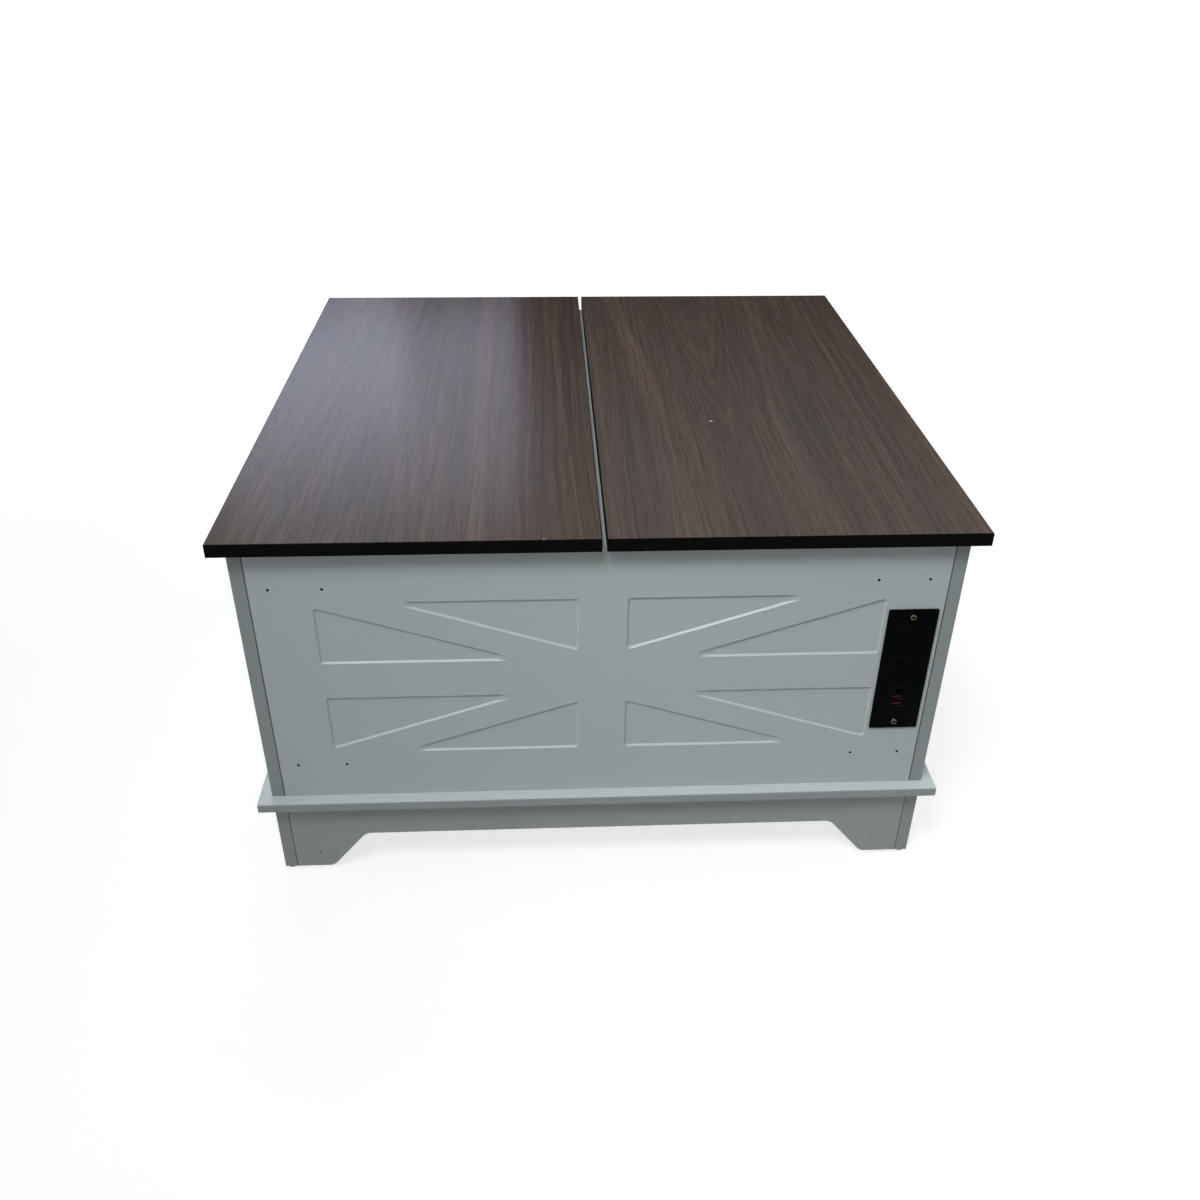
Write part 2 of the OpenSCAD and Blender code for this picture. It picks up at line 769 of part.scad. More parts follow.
module left_hinge_pins() {
    mirror([1, 0, 0]) right_hinge_pins();
}

module right_lid_hinge_leaves() {
    color(steel) at_hinges() lid_leaf();
}

module left_lid_hinge_leaves() {
    mirror([1, 0, 0]) right_lid_hinge_leaves();
}

// Lids

module right_lid_board() {
    color(walnut) translate([lid_gap / 2 + band_t, band_t - table_d / 2, lid_z])
        cube([lid_w - 2 * band_t, table_d - 2 * band_t, lid_t]);
}

module left_lid_board() {
    mirror([1, 0, 0]) right_lid_board();
}

// Section of the edge band: X out from the board's edge, Y up
module band_section() {
    arris = band_t / 2;
    polygon([[0, 0], [band_t - arris, 0], [band_t, arris], [band_t, lid_t - arris],
        [band_t - arris, lid_t], [0, lid_t]]);
}

module right_lid_edge_band() {
    middle = [lid_gap / 2 + lid_w / 2, 0, lid_z];
    color(black) translate(middle) {
        for (turn = [0, 180]) rotate([0, 0, turn]) translate([lid_w / 2 - band_t, table_d / 2, 0])
            rotate([90, 0, 0]) linear_extrude(table_d) band_section();
        for (turn = [90, 270]) rotate([0, 0, turn]) translate([table_d / 2 - band_t, lid_w / 2 - band_t, 0])
            rotate([90, 0, 0]) linear_extrude(lid_w - 2 * band_t) band_section();
    }
}

module left_lid_edge_band() {
    mirror([1, 0, 0]) right_lid_edge_band();
}

// Gas struts, drawn for the right side. Each one stands between a clevis on the side panel
// and a single-eared bracket under the lid.

// At the struts in front (-1) and behind (1), on the right
module at_struts(rows = [-1, 1]) {
    for (row = rows) translate([0, row * strut_y, 0]) children();
}

module base_bracket() {
    ear_x = base_x - inner_w / 2;
    inside = eye_w / 2 + eye_gap;
    difference() {
        union() {
            translate([inner_w / 2 - bracket_t, -inside - bracket_t, base_z - bracket_len / 2])
                cube([bracket_t, 2 * (inside + bracket_t), bracket_len]);
            for (sy = [-1, 1]) translate([base_x, sy * (inside + bracket_t / 2), base_z]) {
                y_rod(ear_r, bracket_t);
                translate([0, -bracket_t / 2, -ear_r]) cube([-ear_x, bracket_t, 2 * ear_r]);
            }
        }
        translate([base_x, 0, base_z]) y_rod(pivot_r + fit, 4 * eye_w);
        for (sz = [-1, 1]) translate([inner_w / 2, 0, base_z + sz * (bracket_len / 2 - bracket_hole_in)])
            rotate([0, -90, 0]) sunk_hole(bracket_t, bracket_hole_r);
    }
}

module strut_base_brackets() {
    color(dark_steel) for (side = [0, 1]) mirror([side, 0, 0]) at_struts() base_bracket();
}

module strut_base_pins() {
    outside = eye_w / 2 + eye_gap + bracket_t;
    color(steel) for (side = [0, 1]) mirror([side, 0, 0]) at_struts() translate([base_x, 0, base_z]) {
        y_rod(pivot_r, 2 * outside);
        for (sy = [-1, 1]) translate([0, sy * (outside + pin_head_t / 2), 0]) y_rod(pin_head_r, pin_head_t);
    }
}

// Bracket under the lid: a foot and one ear beside the strut's eye, on its outer side
module lid_bracket() {
    ear_y = eye_w / 2 + eye_gap;
    base_w = 2 * (ear_y + bracket_t);
    difference() {
        translate([lid_pivot_x - bracket_len / 2, -base_w / 2, lid_z - bracket_t])
            cube([bracket_len, base_w, bracket_t]);
        for (sx = [-1, 1]) translate([lid_pivot_x + sx * (bracket_len / 2 - bracket_hole_in), 0, lid_z])
            mirror([0, 0, 1]) sunk_hole(bracket_t, bracket_hole_r);
    }
    translate([lid_pivot_x, ear_y + bracket_t / 2, lid_pivot_z]) {
        y_rod(ear_r, bracket_t);
        translate([-ear_r, -bracket_t / 2, 0]) cube([2 * ear_r, bracket_t, lid_drop]);
        translate([0, bracket_t, 0]) y_rod(pin_head_r, bracket_t);
    }
}

module right_lid_strut_brackets() {
    color(dark_steel) for (row = [0, 1]) mirror([0, row, 0]) at_struts([1]) lid_bracket();
}

module left_lid_strut_brackets() {
    mirror([1, 0, 0]) right_lid_strut_brackets();
}

// Places a strut: Z runs from the lower pivot at the origin to the lid pivot. Side 0 is the right,
// and side 1 is the same strut turned half round, so its row -1 stands at the back.
module at_strut_axis(side, row) {
    rotate([0, 0, 180 * side]) translate([base_x, row * strut_y, base_z])
        rotate([0, -strut_lean, 0]) children();
}

// Cylinder with the eye, the tube and the rod guide in its upper end
module strut_tube(side, row) {
    bore_r = tube_r - tube_wall;
    color(dark_steel) at_strut_axis(side, row) difference() {
        union() {
            y_rod(eye_r, eye_w);
            cylinder(h = tube_start + 1, r = eye_w / 2);
            translate([0, 0, tube_start]) cylinder(h = tube_end - tube_start, r = tube_r);
        }
        y_rod(pivot_r + fit, eye_w + over);
        translate([0, 0, tube_start + tube_floor]) {
            cylinder(h = tube_end - tube_cap - tube_start - tube_floor, r = bore_r);
            cylinder(h = tube_end, r = rod_r + 2 * fit);
        }
    }
}

// Rod with its piston in the tube and the eye with its own pin head at the lid
module strut_rod(side, row) {
    piston_r = tube_r - tube_wall - piston_gap;
    color(steel) at_strut_axis(side, row) {
        translate([0, 0, piston_z]) cylinder(h = piston_len, r = piston_r);
        translate([0, 0, piston_z]) cylinder(h = strut_closed - piston_z, r = rod_r);
        translate([0, 0, strut_closed - eye_r - rod_neck]) cylinder(h = eye_r + rod_neck, r = eye_w / 2);
        translate([0, 0, strut_closed]) {
            y_rod(eye_r, eye_w);
            translate([0, -row * (eye_w + pin_head_t) / 2, 0]) y_rod(pin_head_r, pin_head_t);
        }
    }
}

module left_front_strut_tube() {
    strut_tube(1, 1);
}

module left_front_strut_rod() {
    strut_rod(1, 1);
}

module left_back_strut_tube() {
    strut_tube(1, -1);
}

module left_back_strut_rod() {
    strut_rod(1, -1);
}

module right_front_strut_tube() {
    strut_tube(0, -1);
}

module right_front_strut_rod() {
    strut_rod(0, -1);
}

module right_back_strut_tube() {
    strut_tube(0, 1);
}

module right_back_strut_rod() {
    strut_rod(0, 1);
}

// Power outlet. X and Y of each outline run along the panel's face, Z out of it.
module at_outlet() {
    translate([outlet_x, face_y, panel_mid]) rotate([90, 0, 0]) children();
}

module outlet_faceplate() {
    color(black) at_outlet() difference() {
        linear_extrude(plate_t) difference() {
            round_rect(plate_w, plate_h, plate_r);
            for (up = socket_heights) translate([0, up])
                square([socket_w + 4 * fit, socket_h + 4 * fit], center = true);
            for (up = port_heights) translate([0, up]) square([port_w, port_h], center = true);
            translate([0, small_port_up]) round_rect(small_port_w, small_port_h, small_port_r);
        }
        for (sy = [-1, 1]) translate([0, sy * plate_screw_pitch / 2, -over])
            cylinder(h = plate_t + 2 * over, r = plate_screw_r + fit);
    }
}

module outlet_housing() {
    hollow = [housing_w - 2 * housing_wall, housing_h - 2 * housing_wall, housing_d - housing_wall + over];
    color(black) difference() {
        at_outlet() difference() {
            translate([0, 0, -housing_d / 2]) cube([housing_w, housing_h, housing_d], center = true);
            translate([0, 0, over + (hollow.z / 2 - housing_d + housing_wall - over)])
                cube(hollow, center = true);
        }
        translate([outlet_x, gland_y, panel_mid - housing_h / 2 - over])
            cylinder(h = housing_wall + 2 * over, r = gland_neck_r + fit);
    }
}

// Mains socket: two flat contact slots and the round earth hole
module mains_socket(up) {
    color(black) at_outlet() translate([0, up, 0]) difference() {
        translate([0, 0, plate_t - socket_sink - socket_d / 2])
            cube([socket_w, socket_h, socket_d], center = true);
        for (sy = [-1, 1]) translate([blade_x, sy * blade_gap / 2, plate_t])
            cube([blade_w, blade_t, 2 * slot_depth], center = true);
        translate([earth_x, 0, plate_t - slot_depth]) cylinder(h = slot_depth + over, r = earth_r);
    }
}

module upper_mains_socket() {
    mains_socket(socket_heights[0]);
}

module lower_mains_socket() {
    mains_socket(socket_heights[1]);
}

module charging_port_block() {
    color(black) at_outlet() difference() {
        translate([0, port_block_up, -port_block.z / 2]) cube(port_block, center = true);
        for (up = port_heights) translate([0, up, 0]) cube([port_w, port_h, 2 * port_depth], center = true);
        translate([0, small_port_up, -port_depth])
            linear_extrude(port_depth + over) round_rect(small_port_w, small_port_h, small_port_r);
    }
}

module charging_port_tongues() {
    tongue = [port_w - 2 * tongue_side_gap, tongue_t, port_depth - tongue_sink];
    color(red) at_outlet() for (up = port_heights)
        translate([0, up, tongue.z / 2 - port_depth]) cube(tongue, center = true);
}

// Pan-headed screws with a deep round recess
module outlet_screws() {
    color(brass) at_outlet() for (sy = [-1, 1]) translate([0, sy * plate_screw_pitch / 2, 0]) difference() {
        union() {
            translate([0, 0, plate_t])
                cylinder(h = plate_head_len, r1 = plate_head_r, r2 = plate_head_r - plate_head_taper);
            translate([0, 0, plate_t - plate_screw_len]) cylinder(h = plate_screw_len, r = plate_screw_r);
        }
        translate([0, 0, plate_t]) cylinder(h = 2 * plate_head_len, r = plate_recess_r);
    }
}

// Gland in the bottom of the housing, where the outlet's lead comes in
module lead_gland() {
    low = panel_mid - housing_h / 2;
    color(black) translate([outlet_x, gland_y, low]) difference() {
        union() {
            translate([0, 0, -gland_len]) cylinder(h = gland_len, r = gland_r);
            cylinder(h = gland_neck_len, r = gland_neck_r);
        }
        translate([0, 0, -gland_len - over])
            cylinder(h = gland_len + gland_neck_len + 2 * over, r = gland_bore_r);
    }
}

// Grommet that lines the lead's hole in the floor
module floor_grommet() {
    out_r = lead_hole_r - fit;
    in_r = lead_hole_r - grommet_wall;
    color(black) translate([outlet_x, lead_hole_y, skirt_top]) rotate_extrude() polygon([[in_r, 0],
        [out_r, 0], [out_r, plinth_t], [lead_hole_r + grommet_flange, plinth_t],
        [lead_hole_r + grommet_flange, plinth_t + grommet_flange_t], [in_r, plinth_t + grommet_flange_t]]);
}

front_panel();
back_panel();
left_panel();
right_panel();
centre_divider();
plinth_board();
front_skirt();
back_skirt();
left_skirt();
right_skirt();
centre_stretcher();
corner_blocks();
skirt_cleats();
foot_glides();
cam_locks();
cam_bolts();
wood_dowels();
floor_screws();
lid_bumpers();
left_hinge_fixed_leaves();
right_hinge_fixed_leaves();
left_hinge_pins();
right_hinge_pins();
strut_base_brackets();
strut_base_pins();
outlet_faceplate();
outlet_housing();
upper_mains_socket();
lower_mains_socket();
charging_port_block();
charging_port_tongues();
outlet_screws();
lead_gland();
floor_grommet();
left_lid_board();
left_lid_edge_band();
left_lid_hinge_leaves();
left_lid_strut_brackets();
right_lid_board();
right_lid_edge_band();
right_lid_hinge_leaves();
right_lid_strut_brackets();
left_front_strut_tube();
left_front_strut_rod();
left_back_strut_tube();
left_back_strut_rod();
right_front_strut_tube();
right_front_strut_rod();
right_back_strut_tube();
right_back_strut_rod();
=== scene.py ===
"""Looks of a square storage coffee table with two flip-up lids.

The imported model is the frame: its boards, hinges, gas struts and outlet parts are already in
place. This script gives each of them its finish, adds the screws, seals and contacts that are
too small for the frame, and sets up the studio and the camera. Lengths are in metres.
"""

import contextlib
import enum
import json
import logging
import math
from collections.abc import Callable, Iterator, Sequence
from dataclasses import dataclass
from typing import Self, TypeAlias

import bmesh
import bpy
from mathutils import Matrix, Vector


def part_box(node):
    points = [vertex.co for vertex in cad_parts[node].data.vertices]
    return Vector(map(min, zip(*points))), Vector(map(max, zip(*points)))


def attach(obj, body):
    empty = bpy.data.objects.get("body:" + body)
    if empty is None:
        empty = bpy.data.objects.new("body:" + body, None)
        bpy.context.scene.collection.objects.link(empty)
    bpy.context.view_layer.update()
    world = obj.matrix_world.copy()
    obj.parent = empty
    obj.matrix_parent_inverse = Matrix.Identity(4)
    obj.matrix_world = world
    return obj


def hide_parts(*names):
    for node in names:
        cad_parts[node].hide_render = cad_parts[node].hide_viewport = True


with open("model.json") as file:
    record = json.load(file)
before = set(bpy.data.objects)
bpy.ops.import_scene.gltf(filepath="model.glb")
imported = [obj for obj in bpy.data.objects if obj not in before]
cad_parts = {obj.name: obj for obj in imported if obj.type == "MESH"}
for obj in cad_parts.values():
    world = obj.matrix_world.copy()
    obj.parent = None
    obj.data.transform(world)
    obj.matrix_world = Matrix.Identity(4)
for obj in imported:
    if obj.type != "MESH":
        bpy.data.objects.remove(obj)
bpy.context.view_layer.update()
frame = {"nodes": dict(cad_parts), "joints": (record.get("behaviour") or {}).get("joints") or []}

LOG = logging.getLogger("coffee_table")
MM = 0.001
MERGE_GAP = 0.001 * MM
FLAT_ANGLE = 0.5

# Sockets of a Mix node that mixes colours: three inputs and the output
MIX_FACTOR, MIX_FIRST, MIX_SECOND, MIX_COLOUR = 0, 6, 7, 2

Triple = tuple[float, float, float]
Colour = Triple
Span = tuple[float, float]
Step = tuple[float, float]
Profile = Sequence[Step]
Number: TypeAlias = "float | Link"
Axes: TypeAlias = "tuple[Link, Link, Link]"


class Side(enum.Enum):
    """The two halves of the table, each with the sign of its X."""

    LEFT = -1
    RIGHT = 1

    @property
    def word(self) -> str:
        """The side's name as the frame's nodes spell it."""
        return self.name.lower()


class Row(enum.Enum):
    """The two gas struts of a side, each with the sign of its Y."""

    FRONT = -1
    BACK = 1

    @property
    def word(self) -> str:
        """The row's name as the frame's nodes spell it."""
        return self.name.lower()


class Along(enum.Enum):
    """The axis that a brushed or grained finish runs along."""

    X = 0
    Y = 1
    Z = 2

    def stretch(self, across: float, along: float) -> Triple:
        """Scales of a pattern that is drawn out along this axis.

        Args:
            across: Lumps in a metre along the other two axes.
            along: Lumps in a metre along this one.

        Returns:
            The scales on X, Y and Z.
        """
        scales = [across, across, across]
        scales[self.value] = along
        return tuple(scales)


class Slot(enum.Enum):
    """The record's material slots, one named for each new piece."""

    STEEL = "steel"
    DARK_STEEL = "dark_steel"
    ZINC = "zinc"
    BRASS = "brass"
    BLACK_PLASTIC = "black_plastic"


# Shader sheets


class Link:
    """A number that varies over a surface. Python's operators on it add Math nodes."""

    def __init__(self, sheet: "Sheet", socket: bpy.types.NodeSocket) -> None:
        """Wrap an output socket of a node on a sheet."""
        self.sheet = sheet
        self.socket = socket

    def __add__(self, other: Number) -> "Link":
        """Sum of the two."""
        return self.sheet.maths("ADD", self, other)

    __radd__ = __add__

    def __sub__(self, other: Number) -> "Link":
        """This less the other."""
        return self.sheet.maths("SUBTRACT", self, other)

    def __rsub__(self, other: Number) -> "Link":
        """The other less this."""
        return self.sheet.maths("SUBTRACT", other, self)

    def __mul__(self, other: Number) -> "Link":
        """Product of the two."""
        return self.sheet.maths("MULTIPLY", self, other)

    __rmul__ = __mul__

    def __truediv__(self, other: Number) -> "Link":
        """This divided by the other."""
        return self.sheet.maths("DIVIDE", self, other)

    def __rtruediv__(self, other: Number) -> "Link":
        """The other divided by this."""
        return self.sheet.maths("DIVIDE", other, self)

    def __abs__(self) -> "Link":
        """Size without sign."""
        return self.sheet.maths("ABSOLUTE", self)

    def root(self) -> "Link":
        """Square root."""
        return self.sheet.maths("SQRT", self)

    def larger(self, other: Number) -> "Link":
        """The larger of the two."""
        return self.sheet.maths("MAXIMUM", self, other)

    def swing(self, reach: float) -> "Link":
        """How far a noise about 0.5 pushes a value up or down, when its whole range is the reach."""
        return (self - 0.5) * reach

    def between(self, low: float, high: float) -> "Link":
        """Smooth share of the way from low to high, from 0 to 1; high may be the smaller.

        Args:
            low: The value that gives 0.
            high: The value that gives 1.

        Returns:
            The share.
        """
        node = self.sheet.node("ShaderNodeMapRange", {"interpolation_type": "SMOOTHSTEP"},
                               {0: self, 1: low, 2: high})
        return Link(self.sheet, node.outputs[0])


def away(aside: Link, above: Link) -> Link:
    """Distance of a point from a spot that it lies aside of and above."""
    return (aside * aside + above * above).root()


class Sheet:
    """A node tree while it is drawn up: a material's or the world's."""

    def __init__(self, owner: bpy.types.Material | bpy.types.World, shader: str) -> None:
        """Open the owner's node tree.

        Args:
            owner: The material or the world.
            shader: Name of the shader node that its sheet feeds.
        """
        owner.use_nodes = True
        self.tree = owner.node_tree
        self.shader = self.tree.nodes[shader]

    def node(self, kind: str, settings: dict[str, object] | None = None,
             inputs: dict[int | str, object] | None = None) -> bpy.types.Node:
        """Add a node of any kind.

        Args:
            kind: Blender's name of the node type.
            settings: Its properties, and "stops" for a ramp, all set before the sockets.
            inputs: A value or a link for each socket, by name or number.

        Returns:
            The new node.
        """
        node = self.tree.nodes.new(kind)
        for key, value in (settings or {}).items():
            if key == "stops":
                self._set_stops(node.color_ramp, value)
            else:
                setattr(node, key, value)
        for key, value in (inputs or {}).items():
            self._feed(node.inputs[key], value)
        return node

    @staticmethod
    def _set_stops(ramp: bpy.types.ColorRamp, stops: Sequence[tuple[float, Colour]]) -> None:
        """Give a ramp its stops.

        Args:
            ramp: The ramp, with two stops at first.
            stops: Position and colour of each stop.
        """
        while len(ramp.elements) < len(stops):
            ramp.elements.new(1.0)
        for element, (position, colour) in zip(ramp.elements, stops):
            element.position = position
            element.color = (*colour, 1.0)

    def _feed(self, socket: bpy.types.NodeSocket, value: object) -> None:
        """Link a socket or set its own value.

        Args:
            socket: The input socket.
            value: A link, an output socket, or the value itself; a colour has no alpha.
        """
        if isinstance(value, Link):
            value = value.socket
        if isinstance(value, bpy.types.NodeSocket):
            self.tree.links.new(value, socket)
        elif isinstance(value, tuple) and socket.type == "RGBA":
            socket.default_value = (*value, 1.0)
        else:
            socket.default_value = value

    def maths(self, operation: str, first: Number, second: Number = 0.0) -> Link:
        """Add a Math node for two numbers."""
        node = self.node("ShaderNodeMath", {"operation": operation}, {0: first, 1: second})
        return Link(self, node.outputs[0])

    def place(self, stretch: Triple = (1.0, 1.0, 1.0),
              shift: Triple = (0.0, 0.0, 0.0)) -> bpy.types.NodeSocket:
        """Object coordinates, stretched and then shifted.

        Args:
            stretch: Scale on each axis.
            shift: Added on each axis afterwards.

        Returns:
            The place as a vector.
        """
        source = self.node("ShaderNodeTexCoord").outputs["Object"]
        node = self.node("ShaderNodeMapping", {}, {"Vector": source, "Scale": stretch, "Location": shift})
        return node.outputs[0]

    def axes(self, space: str = "Object") -> Axes:
        """The three coordinates as numbers.

        Args:
            space: Which coordinates; the world's Generated ones are its direction.

        Returns:
            X, Y and Z.
        """
        source = self.node("ShaderNodeTexCoord").outputs[space]
        node = self.node("ShaderNodeSeparateXYZ", {}, {0: source})
        return Link(self, node.outputs[0]), Link(self, node.outputs[1]), Link(self, node.outputs[2])

    def rays(self) -> tuple[Link, Link]:
        """What kind of ray meets the surface.

        Returns:
            1 for a ray from the camera, and 1 for one from a gloss or a glass, each else 0.
        """
        path = self.node("ShaderNodeLightPath").outputs
        camera, gloss, glass = (Link(self, path[f"Is {kind} Ray"])
                                for kind in ("Camera", "Glossy", "Transmission"))
        return camera, gloss.larger(glass)

    def point(self, x: Number, y: Number, z: Number) -> bpy.types.NodeSocket:
        """A place put together from three numbers."""
        return self.node("ShaderNodeCombineXYZ", {}, {0: x, 1: y, 2: z}).outputs[0]

    def noise(self, scale: float, detail: float = 2.0, roughness: float = 0.5,
              place: bpy.types.NodeSocket | None = None) -> Link:
        """Cloudy noise about 0.5.

        Args:
            scale: Lumps in a metre, or in a unit of a stretched place.
            detail: Octaves of finer noise.
            roughness: Weight of the finer octaves.
            place: Where it is read, if that isn't the plain place.

        Returns:
            The noise as a number.
        """
        node = self.node("ShaderNodeTexNoise", {}, {"Vector": place or self.place(), "Scale": scale,
                                                    "Detail": detail, "Roughness": roughness})
        return Link(self, node.outputs[0])

    def ramp(self, factor: Link, stops: Sequence[tuple[float, Colour]]) -> bpy.types.NodeSocket:
        """Colour ramp on a number."""
        return self.node("ShaderNodeValToRGB", {"stops": stops}, {0: factor}).outputs[0]

    def blend(self, factor: Link, first: object, second: object) -> bpy.types.NodeSocket:
        """Mix two colours.

        Args:
            factor: Share of the second colour.
            first: Colour or colour link at 0.
            second: Colour or colour link at 1.

        Returns:
            The mixed colour.
        """
        node = self.node("ShaderNodeMix", {"data_type": "RGBA"},
                         {MIX_FACTOR: factor, MIX_FIRST: first, MIX_SECOND: second})
        return node.outputs[MIX_COLOUR]

    def shade(self, colour: object, factor: Link) -> bpy.types.NodeSocket:
        """A colour made darker or lighter by a number."""
        node = self.node("ShaderNodeVectorMath", {"operation": "SCALE"}, {0: colour, "Scale": factor})
        return node.outputs[0]

    def relief(self, height: Link, depth: float, strength: float = 1.0) -> None:
        """Raise the surface by a height map from 0 to 1, in which 1 stands for the depth."""
        node = self.node("ShaderNodeBump", {}, {"Height": height, "Distance": depth, "Strength": strength})
        self.set({"Normal": node.outputs[0]})

    def set(self, sockets: dict[str, object]) -> None:
        """Give the shader's own sockets a value or a link each."""
        for key, value in sockets.items():
            self._feed(self.shader.inputs[key], value)


# Finishes


@dataclass(frozen=True)
class Finish:
    """What every finish has: its name and a way to become a material."""

    name: str

    def draw(self, sheet: Sheet) -> None:
        """Draw the finish on its sheet."""
        raise NotImplementedError

    def make(self) -> bpy.types.Material:
        """Make the material.

        Returns:
            The material, drawn.
        """
        material = bpy.data.materials.new(self.name)
        self.draw(Sheet(material, "Principled BSDF"))
        return material


@dataclass(frozen=True)
class FilmedBoard(Finish):
    """White film over board, with greyer banded edges, painted shade and dirt in the seams, and pilot holes
    whose raw core and shade are painted near-black.
    """

    colour: Colour = (0.505, 0.578, 0.592)
    cloud: float = 0.07
    cloud_scale: float = 4.0
    speck_share: float = 1 / 3
    speck_scale: float = 210.0
    speck_rough: float = 0.10
    roughness: float = 0.40
    gloss: float = 0.40
    grain_scale: float = 1500.0
    grain_depth: float = 0.02 * MM
    scuff_scale: float = 70.0
    scuff_stretch: Triple = (1.0, 1.0, 0.35)
    scuff_span: Span = (0.56, 0.72)
    scuff_top: float = 75.0 * MM
    scuff_dark: float = 0.12
    scuff_rough: float = 0.15
    edge_axes: tuple[Along, ...] = ()
    edge_from: float = 384.6 * MM
    edge_tone: float = 0.60
    edge_fade: float = 0.1 * MM
    seam_x: float = 0.0
    seam_w: float = 0.90 * MM
    seam_core: float = 0.4
    # Tone of the painted shade and dirt in the joints
    seam_tone: float = 0.18
    seam_from: float = 384.2 * MM
    bores: tuple[tuple[float, float], ...] = ()
    bore_r: float = 1.7 * MM
    bore_core: float = 0.9
    bore_back: float = -372.0 * MM
    bore_fade: float = 0.5 * MM
    # Near-black of the raw core and of the painted shade inside the pilot holes
    core: Colour = (0.012, 0.009, 0.007)

    def draw(self, sheet: Sheet) -> None:
        """Cloud the colour, roughen the film, mark edges and feet, and paint shade into seams and holes.

        Args:
            sheet: The material's sheet.
        """
        clouds = sheet.noise(self.cloud_scale, detail=3.0)
        specks = sheet.noise(self.speck_scale)
        grain = sheet.noise(self.grain_scale)
        axes = sheet.axes()
        scuff_place = sheet.place(self.scuff_stretch)
        scuffs = sheet.noise(self.scuff_scale, detail=4.0, roughness=0.6, place=scuff_place)
        worn = scuffs.between(*self.scuff_span) * axes[Along.Z.value].between(self.scuff_top, 0.0)
        tone = 1.0 + clouds.swing(self.cloud) + specks.swing(self.cloud * self.speck_share)
        tone = tone - worn * self.scuff_dark
        tone = self._seamed(axes, self._edged(axes, tone))
        sheet.set({
            "Base Color": self._bored(sheet, axes, sheet.shade(self.colour, tone)),
            "Roughness": self.roughness + specks.swing(self.speck_rough) + worn * self.scuff_rough,
            "Specular IOR Level": self.gloss,
        })
        sheet.relief(grain, self.grain_depth, strength=0.5)

    def _edged(self, axes: Axes, tone: Link) -> Link:
        """Grey the banded edges.

        Args:
            axes: Place on the table.
            tone: Tone of the film so far.

        Returns:
            The tone with its edges.
        """
        for axis in self.edge_axes:
            edge = abs(axes[axis.value]).between(self.edge_from - self.edge_fade, self.edge_from)
            tone = tone * (1.0 - edge * (1.0 - self.edge_tone))
        return tone

    def _seamed(self, axes: Axes, tone: Link) -> Link:
        """Paint shade and dirt into the joint between two boards on the outside of the case.

        Args:
            axes: Place on the table.
            tone: Tone of the film so far.

        Returns:
            The tone with its seams, or as it was on a board that has none.
        """
        if not self.seam_x:
            return tone
        across, along, _ = axes
        seam = abs(abs(across) - self.seam_x).between(self.seam_w, self.seam_core * self.seam_w)
        outside = abs(along).between(self.seam_from - self.edge_fade, self.seam_from)
        # Paint shade and dirt along the joint
        return tone * (1.0 - seam * outside * (1.0 - self.seam_tone))

    def _bored(self, sheet: Sheet, axes: Axes, film: bpy.types.NodeSocket) -> bpy.types.NodeSocket:
        """Paint the raw core and the shade inside the pilot holes near-black.

        Args:
            sheet: The material's sheet.
            axes: Place on the table.
            film: Colour of the film.

        Returns:
            The colour with its holes.
        """
        across, along, height = axes
        for bore_x, bore_z in self.bores:
            distance = away(across - bore_x, height - bore_z)
            inside = distance.between(self.bore_r, self.bore_core * self.bore_r)
            inside = inside * along.between(self.bore_back, self.bore_back - self.bore_fade)
            # Painted shade and raw core inside the hole
            film = sheet.blend(inside, film, self.core)
        return film


class Flow(enum.Enum):
    """The way that the arches of a grain open along Y."""

    TO_FRONT = -1
    TO_BACK = 1


@dataclass(frozen=True)
class PaleStreak:
    """A narrow pale line in a grain: its X at the front edge and at the middle, width and strength."""

    front_x: float
    middle_x: float
    width: float
    strength: float


@dataclass(frozen=True)
class Fibre:
    """A noise drawn out along the wood: lumps in a metre across and along it, and its octaves."""

    across: float
    along: float
    detail: float
    roughness: float = 0.5

    def read(self, sheet: Sheet, offset: Link, along: Link, seed: float) -> Link:
        """The noise at an offset from the heart line and a place along Y, on the seed's board."""
        place = sheet.point(offset * self.across, along * self.along, seed)
        return sheet.noise(1.0, self.detail, self.roughness, place)


